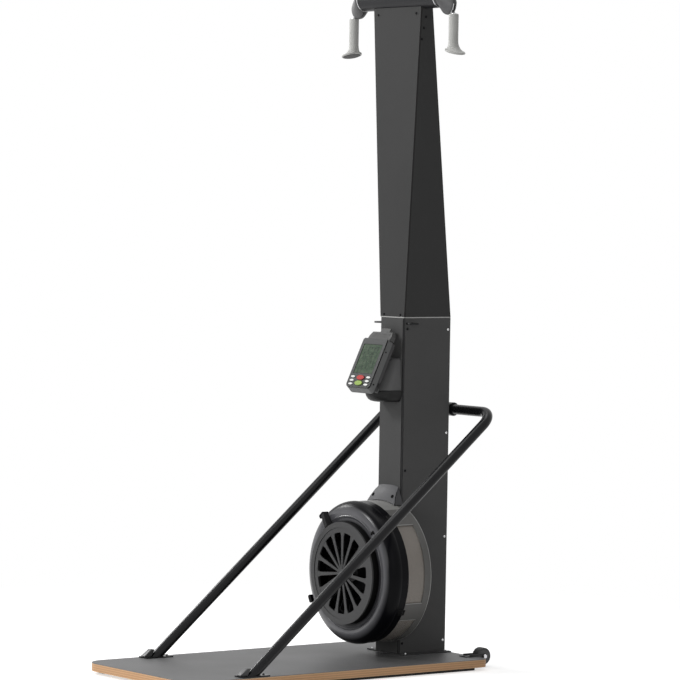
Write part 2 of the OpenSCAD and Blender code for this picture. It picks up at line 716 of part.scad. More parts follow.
module fan_grille() color("gray") {
    step_r = (grille_r + grille_open_r)/2;
    hub = 18;
    fan_ring(grille_r, grille_open_r, grille_d0, grille_front - 2);
    fan_ring(grille_r, step_r, grille_front - 3, grille_front);
    fan_ring(grille_r - 10, grille_r - 14, seat_d, grille_d0 + 1);
    fan_ring(hub, 0, grille_d0 - 2, grille_front + 3, 64);
    for (i = [0:spokes - 1]) fan_place(grille_d0 + 0.4) rotate([0, -90 - 360/spokes*i, 0]) rotate([90, 0, 0])
        linear_extrude(grille_t - 2.8) polygon([[hub - 4, -spoke_w/2], [grille_open_r - 14, -spoke_w*0.9],
            [grille_open_r + 3, -spoke_w*1.7], [grille_open_r + 3, spoke_w*1.7],
            [grille_open_r - 14, spoke_w*0.9], [hub - 4, spoke_w/2]]);
}

// Sloping cover between the fan's top and the column
module fan_cowl() color("gray") {
    top_z = 279;
    out = 50;
    half = col_w/2 - 1;
    rim_z = fan_r - 20;
    difference() {
        fan_place(0) translate([-half, 0, 0]) rotate([90, 0, 90]) linear_extrude(2*half)
            cowl_section(top_z, out, rim_z, 0);
        fan_place(0) translate([-half + sheet_t, 0, 0]) rotate([90, 0, 90]) linear_extrude(2*(half - sheet_t))
            cowl_section(top_z, out, rim_z - 1, sheet_t);
        translate([0, col_front_y + 1, fan_z]) rotate([90, 0, 0])
            cylinder(r = fan_r + 0.6 + free_gap, h = 2*out, $fn = 128);
        for (x = [-50, 50]) fan_place(0) translate([x, -29, top_z - 30]) rotate([50, 0, 0])
            translate([0, 0, -14]) cylinder(r = 4.5, h = 40, $fn = 32);
    }
}

// Side view of the cowl, with y measured forwards as negative, shrunk by g
module cowl_section(top_z, out, rim_z, g) polygon(concat(
    [[g > 0 ? 1 : -free_gap, rim_z], [g > 0 ? 1 : -free_gap, top_z - g]],
    [for (i = [0:8]) [-(out - g)*sin(90*i/8), rim_z + (top_z - g - rim_z)*cos(90*i/8)]]));

// Display

hinge_web = 34;

module console_mount() color("dimgray") {
    difference() {
        hull() mount_ends(0);
        hull() mount_ends(3);
    }
    console_place() {
        both_sides() {
            box(hinge_web + 2, hinge_web + 10, hinge_back - 2, con_d + 26, hinge_up - 7, hinge_up + 7);
            translate([hinge_web + 2, hinge_back, hinge_up]) along_x() cylinder(r = hinge_r, h = 8);
        }
        translate([-hinge_web - 3, hinge_back, hinge_up]) along_x()
            cylinder(r = pin_r, h = 2*hinge_web + 6);
    }
}

// The mount's foot on the column and its head behind the display, shrunk by g
module mount_ends(g) {
    half = col_w/2 - 3 - g;
    box(-half, half, col_front_y - 1 + (g > 0 ? 2 : 0), col_front_y - free_gap/3 + (g > 0 ? 2 : 0),
        con_zc - 126 + g, con_zc + 60 - g);
    console_place() box(-half + 8, half - 8, con_d + 20.5 + g, con_d + 21.5 + g, -con_h/2 + 2 + g, 66 - g);
}

module console_front_case() color("dimgray") console_place() difference() {
    hull() {
        face_slab(rounded(-con_w/2, con_w/2, -con_h/2, con_h/2, 12, 9, 6), 0, 1);
        face_slab(rounded(-con_w/2, con_w/2, -con_h/2 - chin, con_h/2, 12, 9, 6), con_d - 1, con_d);
    }
    face_slab(rounded(-con_w/2 + case_wall, con_w/2 - case_wall, -con_h/2 + case_wall,
        con_h/2 - case_wall, 10, 7), case_wall, con_d + 1);
    face_slab(rounded(-lcd_w/2, lcd_w/2, lcd_z0, lcd_z0 + lcd_h, 3, 3, 4), -1, case_wall + 1);
    for (z = [red_z, green_z]) translate([0, 0, z])
        face_slab(ellipse(oval_w, oval_h, free_gap), -1, case_wall + 1);
    for (x = [-key_x, key_x], z = key_rows) translate([x, 0, z])
        face_slab(ellipse(key_w, key_h, free_gap), -1, case_wall + 1);
}

module console_lens() color("darkseagreen") console_place()
    face_slab(rounded(-lcd_w/2 + free_gap, lcd_w/2 - free_gap, lcd_z0 + free_gap,
        lcd_z0 + lcd_h - free_gap, 3, 3, 4), 0.8, case_wall);

module console_rear_case() color("dimgray") console_place() {
    back = con_d + 12;
    difference() {
        union() {
            face_slab(rounded(-con_w/2 + 1, con_w/2 - 1, hinge_up + 18, con_h/2 - 2, 10, 10), con_d, back);
            face_slab(rounded(-con_w/2 + 1, con_w/2 - 1, -con_h/2 - chin, hinge_up + 30, 11, 2), con_d, con_d + 3);
        }
        face_slab(rounded(-con_w/2 + 4, con_w/2 - 4, hinge_up + 21, con_h/2 - 5, 8, 8), con_d - 1, back - 3);
    }
    difference() {
        union() {
            translate([-hinge_web, hinge_back, hinge_up]) along_x() cylinder(r = hinge_r, h = 2*hinge_web);
            box(-hinge_web, hinge_web, con_d + 2, hinge_back, hinge_up - 5, hinge_up + 5);
        }
        translate([-hinge_web - 1, hinge_back, hinge_up]) along_x()
            cylinder(r = pin_r + run_gap, h = 2*hinge_web + 2);
    }
}

// Ledge and lip on top of the display that hold a phone
module device_holder() color("gray") console_place() {
    z0 = con_h/2 + free_gap;
    low = con_w/2 - 5;
    intersection() {
        translate([-low, 0, 0]) rotate([90, 0, 90]) linear_extrude(2*low)
            polygon([[10, z0], [con_d + 6, z0], [con_d + 6, z0 + 29], [con_d - 2, z0 + 33],
                [con_d - 8, z0 + 30], [12, z0 + 6]]);
        face_slab([[-low, z0 - 1], [low, z0 - 1], [low, z0 + 16], [low - 9, z0 + 34],
            [9 - low, z0 + 34], [-low, z0 + 16]], 0, con_d + 8);
    }
    box(-24, 24, con_d, con_d + 4, z0 + 27, z0 + 47);
}

module oval_button(z) console_place() translate([0, 0, z]) {
    face_slab(ellipse(oval_w, oval_h), -key_rise + 0.8, key_in);
    face_slab(ellipse(oval_w, oval_h, -1.2), -key_rise, -key_rise + 0.8 + eps);
}

module key(side, row) color("whitesmoke") console_place() translate([side*key_x, 0, key_rows[row - 1]])
    face_slab(ellipse(key_w, key_h), -key_rise + 0.6, key_in);

module red_button() color("red") oval_button(red_z);
module green_button() color("yellowgreen") oval_button(green_z);
module key_left_1() key(-1, 1);
module key_left_2() key(-1, 2);
module key_left_3() key(-1, 3);
module key_right_1() key(1, 1);
module key_right_2() key(1, 2);
module key_right_3() key(1, 3);

// Side rails

module rail() color("black") difference() {
    translate([0, rail_foot_y, deck_top]) rotate([rail_elev, 0, 0]) {
        translate([rail_x, -60, 0]) along_y() cylinder(r = rail_r, h = rail_run - rail_bend + 60);
        translate([rail_x - rail_bend, rail_run - rail_bend, 0]) rotate_extrude(angle = 90, $fn = 96)
            translate([rail_bend, 0]) circle(r = rail_r);
        translate([rail_end_x, rail_run, 0]) along_x() cylinder(r = rail_r, h = rail_x - rail_bend - rail_end_x);
    }
    box(rail_x - 60, rail_x + 60, rail_foot_y - 150, rail_foot_y + 100, deck_top - 100, deck_top + foot_plate_t);
}

module rail_right() rail();
module rail_left() mirror([1, 0, 0]) rail();

// Foot plates with gussets on the deck, and the collars behind the column
module rail_fittings() color("black") {
    half_l = rail_r/sin(rail_elev) + 24;
    both_sides() {
        box(rail_x - 24, rail_x + 24, rail_foot_y - half_l + 4, rail_foot_y + half_l + 6,
            deck_top, deck_top + foot_plate_t);
        translate([rail_end_x - 4, rail_y, deck_top + rail_h]) along_x() difference() {
            cylinder(r = collar_r, h = 38);
            translate([0, 0, 4]) cylinder(r = rail_r + run_gap, h = 40);
        }
    }
    box(-col_w/2 + 6, col_w/2 - 6, col_rear_y, col_rear_y + 2.6,
        deck_top + rail_h - 16, deck_top + rail_h + 16);
}

// Transport wheels

module wheel() color("black") translate([wheel_x, wheel_y, wheel_z]) along_x() rotate_extrude($fn = 96)
    polygon([[axle_r + run_gap, -wheel_w/2], [wheel_r - 3, -wheel_w/2], [wheel_r, -wheel_w/2 + 3],
        [wheel_r, wheel_w/2 - 3], [wheel_r - 3, wheel_w/2], [axle_r + run_gap, wheel_w/2]]);

module wheel_right() wheel();
module wheel_left() mirror([1, 0, 0]) wheel();

module wheel_brackets() color("dimgray") both_sides() {
    ear_in = wheel_w/2 + 0.5;
    ear_t = 3;
    box(wheel_x - ear_in - ear_t, wheel_x + ear_in + ear_t, deck_rear_y - bracket_l, deck_rear_y, deck_top, deck_top + ear_t);
    for (x = [wheel_x - ear_in - ear_t, wheel_x + ear_in]) {
        box(x, x + ear_t, deck_rear_y - 0.65*bracket_l, wheel_y, deck_top + ear_t - eps, deck_top + 8);
        translate([x, wheel_y, wheel_z]) along_x() cylinder(r = 9, h = ear_t);
    }
    translate([wheel_x - ear_in - eps, wheel_y, wheel_z]) along_x() cylinder(r = axle_r, h = 2*ear_in + 2*eps);
}

deck_board();
deck_mat();
deck_feet();
column_frame();
lower_front_panel();
lower_side_left();
lower_side_right();
lower_rear_panel();
upper_front_panel();
upper_channel();
seam_trim();
dark_screws();
bright_fasteners();
handle_hooks();
crossbar_tube();
bar_rings();
console_mount();
rail_left();
rail_right();
rail_fittings();
fan_rear_shell();
fan_front_shell();
fan_mesh();
fan_grille();
fan_cowl();
shaft_bearings();
wheel_brackets();
inner_cords();
return_elastics();
flywheel();
drive_shaft();
drum_left();
drum_right();
idler_left();
idler_right();
head_frame_left();
head_frame_right();
head_shell_left();
head_shell_right();
head_pulley_left();
head_pulley_right();
grip_left();
grip_right();
cord_drop_left();
cord_drop_right();
damper_ring();
console_front_case();
console_rear_case();
device_holder();
console_lens();
red_button();
green_button();
key_left_1();
key_left_2();
key_left_3();
key_right_1();
key_right_2();
key_right_3();
wheel_left();
wheel_right();
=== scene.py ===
import math
import bpy
import bmesh
from mathutils import Matrix, Vector


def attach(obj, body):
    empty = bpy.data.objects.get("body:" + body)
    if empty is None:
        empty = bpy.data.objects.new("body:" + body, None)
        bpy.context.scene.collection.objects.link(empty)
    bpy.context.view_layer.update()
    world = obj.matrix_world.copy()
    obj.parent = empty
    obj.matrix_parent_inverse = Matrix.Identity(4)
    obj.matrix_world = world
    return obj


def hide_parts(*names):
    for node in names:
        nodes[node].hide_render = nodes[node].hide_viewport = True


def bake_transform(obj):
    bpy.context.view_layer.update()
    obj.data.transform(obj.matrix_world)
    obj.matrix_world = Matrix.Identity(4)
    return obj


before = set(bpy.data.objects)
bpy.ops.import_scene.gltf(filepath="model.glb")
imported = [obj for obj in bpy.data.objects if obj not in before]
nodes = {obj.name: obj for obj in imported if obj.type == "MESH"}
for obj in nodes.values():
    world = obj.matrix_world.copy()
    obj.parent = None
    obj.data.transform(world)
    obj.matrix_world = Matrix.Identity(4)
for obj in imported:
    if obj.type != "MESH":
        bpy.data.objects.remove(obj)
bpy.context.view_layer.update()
scene = bpy.context.scene
print("frame loaded:", len(nodes), "nodes")

# places on the machine, in metres, as in the part's source
machine = {
    "deckTop": 0.037, "columnFront": 0.368, "columnRear": 0.562, "columnHalf": 0.0635,
    "seam": 1.141, "upperTop": 2.1575, "upperHalf": 0.1265,
    "barY": 0.392, "headX": 0.239, "pulleyZ": 2.159, "cordX": 0.267, "gripTop": 2.128,
    "fanZ": 0.308, "grilleFront": 0.1773, "railX": 0.27, "railFoot": -0.368,
    "wheelX": 0.217, "wheelY": 0.594, "wheelZ": 0.036,
}
display = {"y": 0.2655, "z": 0.994, "tilt": math.radians(25.2)}
hands = ((-1, "left"), (1, "right"))


# A point of the machine, on its left or its right
def machinePoint(side, x, y, z):
    return Vector((side * machine[x], machine[y], machine[z]))


# Node graphs

# A method of a wire that adds a sum node; where it is swapped, the wire comes last
def sign(operation, swapped=False):
    def method(wire, *others):
        values = (*others, wire) if swapped else (wire, *others)
        return wire.graph.sum(operation, *values)

    return method


# The output of a node, for sums that are written with their signs
class Wire:
    def __init__(self, graph, socket):
        self.graph = graph
        self.socket = socket

    __add__ = __radd__ = sign("ADD")
    __sub__ = sign("SUBTRACT")
    __rsub__ = sign("SUBTRACT", swapped=True)
    __mul__ = sign("MULTIPLY")
    __truediv__ = sign("DIVIDE")
    __pow__ = sign("POWER")
    __mod__ = sign("FLOORED_MODULO")
    __abs__ = sign("ABSOLUTE")
    __lt__ = sign("LESS_THAN")
    __gt__ = sign("GREATER_THAN")

    def __neg__(self):
        return self * -1.0


class Graph:
    def __init__(self, tree):
        self.tree = tree
        tree.nodes.clear()

    def fill(self, socket, value):
        if isinstance(value, Wire):
            self.tree.links.new(value.socket, socket)
        else:
            socket.default_value = value

    # a node with its settings and inputs, seen as one of its outputs
    def add(self, kind, values=(), out=0, **settings):
        node = self.tree.nodes.new(kind)
        for key, value in settings.items():
            setattr(node, key, value)
        pairs = values.items() if isinstance(values, dict) else enumerate(values)
        for key, value in pairs:
            self.fill(node.inputs[key], value)
        return Wire(self, node.outputs[out])

    def output(self, kind, wire):
        self.tree.links.new(wire.socket, self.tree.nodes.new(kind).inputs[0])

    def sum(self, operation, *values):
        return self.add("ShaderNodeMath", values, operation=operation)

    def clamp(self, value, high=1.0):
        return self.sum("MINIMUM", self.sum("MAXIMUM", value, 0.0), high)

    def split(self, vector):
        first = self.add("ShaderNodeSeparateXYZ", [vector])
        return [Wire(self, out) for out in first.socket.node.outputs]

    def place(self, offset=(0, 0, 0), scale=(1, 1, 1)):
        coords = self.add("ShaderNodeTexCoord", out="Object")
        return self.add("ShaderNodeMapping", {"Vector": coords, "Location": offset, "Scale": scale})

    def noise(self, vector, scale, detail=3.0, rough=0.55):
        return self.add("ShaderNodeTexNoise",
            {"Vector": vector, "Scale": scale, "Detail": detail, "Roughness": rough})

    def cells(self, vector, scale, feature="SMOOTH_F1"):
        return self.add("ShaderNodeTexVoronoi", {"Vector": vector, "Scale": scale}, feature=feature)

    def mixColour(self, factor, first, second):
        first, second = [tone if isinstance(tone, Wire) else (*tone, 1.0) for tone in (first, second)]
        return self.add("ShaderNodeMix", {0: factor, 6: first, 7: second}, 2, data_type="RGBA")

    def bump(self, height, strength, distance):
        return self.add("ShaderNodeBump", {"Strength": strength, "Distance": distance, "Height": height})


# The graph of a new material, whose surface is set when the rest is made
class Coat(Graph):
    def __init__(self):
        self.material = bpy.data.materials.new("coat")
        self.material.use_nodes = True
        super().__init__(self.material.node_tree)
        self.surface = self.add("ShaderNodeBsdfPrincipled")
        self.output("ShaderNodeOutputMaterial", self.surface)

    def finish(self, tone, rough, normal=None, specular=0.5, metal=0.0, coat=0.0, coatRough=0.03):
        values = {"Base Color": tone, "Roughness": rough, "Specular IOR Level": specular,
            "Metallic": metal, "Coat Weight": coat, "Coat Roughness": coatRough}
        if normal:
            values["Normal"] = normal
        for key, value in values.items():
            self.fill(self.surface.socket.node.inputs[key], value)
        return self.material


# Materials

def shade(base, share):
    return [c * share for c in base]


# Powder coat: a fine orange-peel grain, faint cloudy wear in the gloss
def powderCoat(base, rough, grain=0.22, cloud=0.1, specular=0.5):
    g = Coat()
    p = g.place()
    wide = g.noise(p, 5.0, 4.0)
    marks = g.noise(g.place(scale=(1, 1, 0.25)), 60.0)
    tone = g.mixColour((wide - 0.5) * cloud * 4 + 0.5, shade(base, 0.92), shade(base, 1.1))
    dull = (wide - 0.5) * 0.16 + (marks - 0.5) * 0.08 + rough
    return g.finish(tone, dull, g.bump(g.noise(p, 1400.0, 2.0), grain, 0.0004), specular)


# The column's paint, with painted light: its sides may be paler than its front, and the groove behind its
# front corner is painted black as shade
def columnCoat(front, side, groove):
    line = {"from": 0.0008, "to": 0.0062}
    g = Coat()
    p = g.place((0, -machine["columnFront"], 0))
    x, y, z = g.split(p)
    wide = g.noise(p, 5.0, 4.0)
    # painted light: the side tone may be paler than the front tone
    tones = [g.mixColour(wide, shade([base] * 3, 0.92), shade([base] * 3, 1.1)) for base in (front, side)]
    # painted shade: the walls of the groove are painted near-black
    grooveShade = (y > line["from"]) * (y < line["to"]) * groove
    tone = g.mixColour(grooveShade, g.mixColour(y > line["from"], *tones), [0.002] * 3)
    grain = g.bump(g.noise(p, 1400.0, 2.0), 0.22, 0.0004)
    return g.finish(tone, (wide - 0.5) * 0.16 + 0.52, grain, 0.05, metal=grooveShade)


# Moulded plastic or rubber: a leathery grain and slight rubbing
def moulded(base, rough, scale=900.0, depth=0.25, specular=0.5):
    g = Coat()
    p = g.place()
    wide = g.noise(p, 14.0, 4.0)
    tone = g.mixColour(wide, shade(base, 0.9), shade(base, 1.1))
    return g.finish(tone, (wide - 0.5) * 0.14 + rough, g.bump(g.cells(p, scale), depth, 0.0004), specular)


# Smooth painted or polished surface with faint streaks
def smooth(base, rough, streak=(1, 1, 1), metal=0.0, specular=0.5):
    g = Coat()
    lines = g.noise(g.place(scale=streak), 90.0, 4.0)
    wide = g.noise(g.place(), 9.0)
    tone = g.mixColour(lines, shade(base, 0.93), shade(base, 1.06))
    dull = (lines - 0.5) * 0.1 + (wide - 0.5) * 0.08 + rough
    return g.finish(tone, dull, g.bump(lines, 0.06, 0.0003), specular, metal)


# Plies of the deck's board on its cut edges, with a veneer above and below
def plywoodEdge():
    edge = {"bottom": 0.011, "top": 0.0358, "plies": 7, "veneer": (0.001, 0.0012)}
    g = Coat()
    x, y, z = g.split(g.place())
    turn = (z - edge["bottom"]) / ((edge["top"] - edge["bottom"]) / edge["plies"]) % 2.0
    across = turn > 1.0
    wobble = g.noise(g.place(scale=(1, 1, 6)), 26.0, 4.0)
    endGrain = g.noise(g.place(), 520.0)
    longGrain = g.noise(g.place(scale=(0.25, 0.25, 9)), 210.0, 4.0)
    light = g.mixColour(longGrain, (0.62, 0.36, 0.185), (0.72, 0.44, 0.235))
    dark = g.mixColour(endGrain, (0.42, 0.225, 0.11), (0.58, 0.34, 0.175))
    wood = g.mixColour(across, light, dark)
    wood = g.mixColour(wobble * 0.5, wood, (0.54, 0.31, 0.155))
    glue = abs(turn % 1.0 - 0.5) > 0.46
    wood = g.mixColour(glue * 0.35, wood, (0.12, 0.07, 0.04))
    low, high = edge["veneer"]
    veneer = (z > edge["top"] - high) + (z < edge["bottom"] + low)
    wood = g.mixColour(veneer, wood, (0.6, 0.4, 0.235))
    grain = g.bump(endGrain * across + longGrain * (1.0 - across), 0.25, 0.0005)
    return g.finish(wood, (endGrain - 0.5) * 0.2 + 0.55, grain)


# Pebbled sheet on top of the deck, faintly scuffed
def deckSheet():
    g = Coat()
    p = g.place()
    wide = g.noise(p, 3.2, 5.0)
    scuff = g.noise(g.place(scale=(1, 0.12, 1)), 30.0, 5.0, 0.7)
    tone = g.mixColour(wide, (0.068, 0.068, 0.069), (0.084, 0.084, 0.085))
    tone = g.mixColour((scuff > 0.68) * 0.2, tone, (0.06, 0.06, 0.06))
    return g.finish(tone, (wide - 0.5) * 0.2 + 0.5, g.bump(g.cells(p, 420.0, "F1"), 0.22, 0.0006))


# Sheet steel of the fan's rear half, paler on the plates that bridge its top
def fanRearPaint():
    plate = {"front": 0.0262, "height": 0.2105}
    g = Coat()
    p = g.place((0, 0, -machine["fanZ"]))
    x, y, z = g.split(p)
    wide = g.noise(p, 9.0)
    dark = g.mixColour(wide, (0.135, 0.133, 0.129), (0.17, 0.168, 0.162))
    pale = g.mixColour(wide, (0.26, 0.258, 0.25), (0.33, 0.327, 0.318))
    onPlate = (y < machine["columnFront"] - plate["front"]) * (z > plate["height"])
    grain = g.bump(g.noise(p, 1400.0, 2.0), 0.15, 0.0004)
    return g.finish(g.mixColour(onPlate, dark, pale), (wide - 0.5) * 0.12 + 0.4, grain, 0.12)


# Sheet with rows of fine holes round the fan
def perforatedBand():
    holes = {"pitch": 0.0034, "row": 0.0034 * 0.866, "radius": 0.00085, "band": 0.228}
    g = Coat()
    p = g.place((0, 0, -machine["fanZ"]))
    x, y, z = g.split(p)
    row = y / holes["row"]
    shift = g.sum("FLOOR", row) % 2.0 * 0.5
    along = g.sum("ARCTAN2", x, z) * holes["band"] / holes["pitch"]
    u = ((along + shift) % 1.0 - 0.5) * holes["pitch"]
    v = (row % 1.0 - 0.5) * holes["row"]
    hole = (u * u + v * v) ** 0.5 < holes["radius"]
    sheet = g.mixColour(g.noise(p, 12.0), (0.29, 0.264, 0.238), (0.335, 0.304, 0.274))
    tone = g.mixColour(hole, sheet, (0.03, 0.028, 0.026))
    return g.finish(tone, hole * 0.3 + 0.46, g.bump(1.0 - hole, 0.3, 0.0004), 0.3, 0.15 - hole * 0.15)


# Grey casing of a pulley head, with a darker rim and a fine seam on either side of it
def headCasing():
    casing = {"half": 0.0062, "rim": 0.029, "seam": 0.0004}
    g = Coat()
    p = g.place((0, -machine["barY"], -machine["pulleyZ"]))
    x, y, z = g.split(p)
    out = abs(x) - machine["headX"]
    rim = (abs(y) < casing["half"]) * ((out * out + z * z) ** 0.5 > casing["rim"])
    wide = g.noise(p, 22.0)
    grey = g.mixColour(wide, (0.07, 0.07, 0.072), (0.09, 0.09, 0.092))
    tone = g.mixColour(rim, grey, (0.012, 0.012, 0.013))
    seam = abs(abs(y) - casing["half"]) < casing["seam"]
    grain = g.bump(g.noise(p, 900.0, 2.0) * 0.15 - seam, 0.35, 0.0006)
    return g.finish(tone, 0.4 - rim * 0.08 + (wide - 0.5) * 0.1, grain, coat=0.1)


def screenGlass():
    g = Coat()
    p = g.place()
    wide = (g.noise(p, 70.0, 2.0) - 0.5) * 3.0 + 0.5
    tone = g.mixColour(wide, (0.01, 0.038, 0.012), (0.046, 0.078, 0.04))
    return g.finish(tone, (g.noise(p, 1500.0, 1.0) - 0.5) * 0.05 + 0.3, specular=0.1)


# Glossy black plastic of the fan's front shell, painted paler and glossier along its crest as a painted
# highlight
def shellPlastic():
    crest = {"radius": 0.1935, "half": 0.026, "depth": 0.125, "rise": 0.02}
    g = Coat()
    p = g.place((0, -machine["columnFront"], -machine["fanZ"]))
    x, y, z = g.split(p)
    off = abs((x * x + z * z) ** 0.5 - crest["radius"]) / crest["half"]
    forward = g.clamp((0.0 - y - crest["depth"]) / crest["rise"])
    wide = g.noise(p, 10.0)
    fine = g.noise(p, 260.0, 4.0)
    # painted highlight: the crest band gets a paler colour and a coat
    paintedCrestHighlight = g.sum("MAXIMUM", 1.0 - off * off, 0.0) * forward * (wide * 0.5 + 0.75)
    tone = g.mixColour(paintedCrestHighlight, (0.002, 0.002, 0.003), (0.082, 0.082, 0.09))
    dull = (wide - 0.5) * 0.1 + (fine - 0.5) * 0.05 + 0.3
    return g.finish(tone, dull, g.bump(fine, 0.03, 0.0003), 0.07, coat=paintedCrestHighlight, coatRough=0.28)


# Case of the display, with a dark parting line round its side; its front is painted darker and its side
# paler, as painted light and shade
def displayCase():
    parting = {"depth": 0.003, "half": 0.0015}
    g = Coat()
    p = g.place((0, -display["y"], -display["z"]))
    x, y, z = g.split(p)
    depth = y * math.cos(display["tilt"]) - z * math.sin(display["tilt"])
    line = abs(depth - parting["depth"]) < parting["half"]
    wide = g.noise(p, 14.0, 4.0)
    # painted light and shade: one plastic, darker on the front and paler on the side
    front = g.mixColour(wide, (0.039, 0.041, 0.041), (0.049, 0.051, 0.051))
    side = g.mixColour(wide, (0.15, 0.152, 0.152), (0.175, 0.177, 0.177))
    tone = g.mixColour(line, g.mixColour(depth > parting["depth"], front, side), [0.002] * 3)
    grain = g.bump(g.cells(p, 1500.0) * 0.2 - line, 0.3, 0.0005)
    return g.finish(tone, (wide - 0.5) * 0.12 + 0.42, grain, 0.12, metal=line)


# Oval button, with painted shade darkening the slope of its rim
def ovalButton(base, rise):
    oval = {"half": 0.0215, "tall": 0.009, "flat": 0.76, "slope": 4.0, "darkest": 0.8}
    g = Coat()
    x, y, z = g.split(g.place((0, -display["y"], -display["z"])))
    up = z * math.cos(display["tilt"]) + y * math.sin(display["tilt"]) - rise
    away = ((x / oval["half"]) ** 2.0 + (up / oval["tall"]) ** 2.0) ** 0.5
    wide = g.noise(g.place(), 60.0)
    face = g.mixColour(wide, shade(base, 0.85), shade(base, 1.15))
    # painted shade on the slope of the rim
    rim = g.clamp((away - oval["flat"]) * oval["slope"], oval["darkest"])
    return g.finish(g.mixColour(rim, face, shade(base, 0.16)), (wide - 0.5) * 0.1 + 0.36, specular=0.15)


# Braided cord that runs up and down through a centre
def braid(base, centre):
    g = Coat()
    x, y, z = g.split(g.place(centre))
    turn = g.sum("ARCTAN2", x, y) / (2 * math.pi) * 4
    rise = z / 0.0065
    strand = g.sum("MAXIMUM", *[abs((turn + lean) % 1.0 - 0.5) for lean in (rise, -rise)]) * 2
    tone = g.mixColour(strand, shade(base, 0.5), shade(base, 1.5))
    return g.finish(tone, 0.8, g.bump(strand, 0.6, 0.0006))


paint = {
    # painted light: the lower column gets a paler copy of this paint, its sides paler still
    "column": columnCoat(0.055, 0.06, 0.6),
    "lower": columnCoat(0.082, 0.104, 1.0),
    "frame": powderCoat((0.026, 0.026, 0.027), 0.5, specular=0.3),
    "bar": powderCoat((0.022, 0.022, 0.024), 0.36, 0.15, specular=0.18),
    "rail": powderCoat((0.006, 0.006, 0.007), 0.26, 0.08, specular=0.2),
    "cowl": powderCoat((0.085, 0.085, 0.09), 0.42, specular=0.15),
    # painted highlight: a paler copy of the rail's coat for the flattened tube ends
    "worn": powderCoat((0.06, 0.06, 0.061), 0.34, specular=0.3),
    "headFrame": powderCoat((0.014, 0.014, 0.015), 0.34, 0.1),
    "vane": powderCoat((0.01, 0.01, 0.011), 0.5, specular=0.3),
    "grille": moulded((0.06, 0.06, 0.061), 0.38, 1000.0, 0.12, 0.25),
    "damper": moulded((0.004, 0.004, 0.004), 0.4, specular=0.08),
    "lever": moulded((0.022, 0.022, 0.023), 0.42, specular=0.15),
    "rearCase": moulded((0.07, 0.07, 0.071), 0.48, 1100.0, specular=0.15),
    "mount": moulded((0.145, 0.145, 0.146), 0.5, specular=0.1),
    "cup": moulded((0.012, 0.012, 0.012), 0.45, specular=0.2),
    "holder": moulded((0.075, 0.075, 0.074), 0.6, 420.0, 0.5, 0.3),
    "grip": moulded((0.5, 0.501, 0.484), 0.46, 700.0, 0.12, 0.35),
    "gripBase": moulded((0.022, 0.022, 0.022), 0.55, 600.0, 0.3),
    "rubber": moulded((0.012, 0.012, 0.012), 0.62, 500.0, 0.4, 0.3),
    "wheel": moulded((0.016, 0.016, 0.017), 0.48, 700.0, 0.3),
    "hub": moulded((0.035, 0.035, 0.036), 0.4),
    "pulley": moulded((0.06, 0.06, 0.06), 0.4),
    "white": moulded((0.74, 0.74, 0.72), 0.4, 1600.0, 0.08, 0.35),
    "bright": smooth((0.72, 0.72, 0.73), 0.28, metal=0.9),
    "trim": smooth((0.42, 0.42, 0.41), 0.45, (1, 1, 8), 0.2),
    "steel": smooth((0.58, 0.58, 0.6), 0.26, (1, 12, 1), 1.0),
    "screwDark": smooth((0.008, 0.008, 0.009), 0.42, metal=0.2, specular=0.1),
    "socket": smooth((0.003, 0.003, 0.003), 0.6, specular=0.02),
    "digits": smooth((0.003, 0.008, 0.004), 0.3, specular=0.1),
    "red": ovalButton((0.44, 0.012, 0.008), -0.0535),
    "green": ovalButton((0.27, 0.4, 0.07), -0.073),
    "plywood": plywoodEdge(), "deck": deckSheet(), "band": perforatedBand(), "bridge": fanRearPaint(),
    "shell": shellPlastic(), "case": displayCase(), "head": headCasing(), "glass": screenGlass(),
    "cordLeft": braid([0.03] * 3, (machine["cordX"], -machine["barY"], 0)),
    "cordRight": braid([0.03] * 3, (-machine["cordX"], -machine["barY"], 0)),
    "cord": braid([0.03] * 3, (-0.02, -0.43, 0)),
    "elastic": braid((0.2, 0.02, 0.02), (0.018, -0.475, 0)),
}
for name, material in paint.items():
    material.name = name + "Paint"
print("materials made:", len(paint))

# a finish goes on every CAD node whose name starts in one of these ways
finishOf = {
    "plywood": "deck_board", "deck": "deck_mat", "rubber": "deck_feet",
    "frame": "column_frame wheel_brackets", "column": "upper_", "lower": "lower_",
    "trim": "seam_trim", "screwDark": "dark_screws", "bright": "bar_rings bright_fasteners",
    "rail": "handle_hooks rail_", "bar": "crossbar_tube", "mount": "console_mount",
    "bridge": "fan_rear_shell", "shell": "fan_front_shell", "band": "fan_mesh",
    "grille": "fan_grille", "cowl": "fan_cowl", "steel": "shaft_bearings drive_shaft",
    "cord": "inner_cords", "elastic": "return_elastics", "vane": "flywheel",
    "pulley": "drum_ idler_ head_pulley_", "headFrame": "head_frame_", "head": "head_shell_",
    "grip": "grip_", "cordLeft": "cord_drop_left", "cordRight": "cord_drop_right",
    "damper": "damper_ring", "case": "console_front_case", "rearCase": "console_rear_case",
    "holder": "device_holder", "glass": "console_lens", "red": "red_button",
    "green": "green_button", "white": "key_", "wheel": "wheel_left wheel_right",
}
finished = 0
for finish, starts in finishOf.items():
    for name in nodes:
        if name.startswith(tuple(starts.split())):
            finished += 1
            for materialSlot in nodes[name].material_slots:
                materialSlot.material = paint[finish]
print("finishes on CAD nodes:", finished)


# Meshes

def linked(name, data):
    thing = bpy.data.objects.new(name, data)
    scene.collection.objects.link(thing)
    return thing


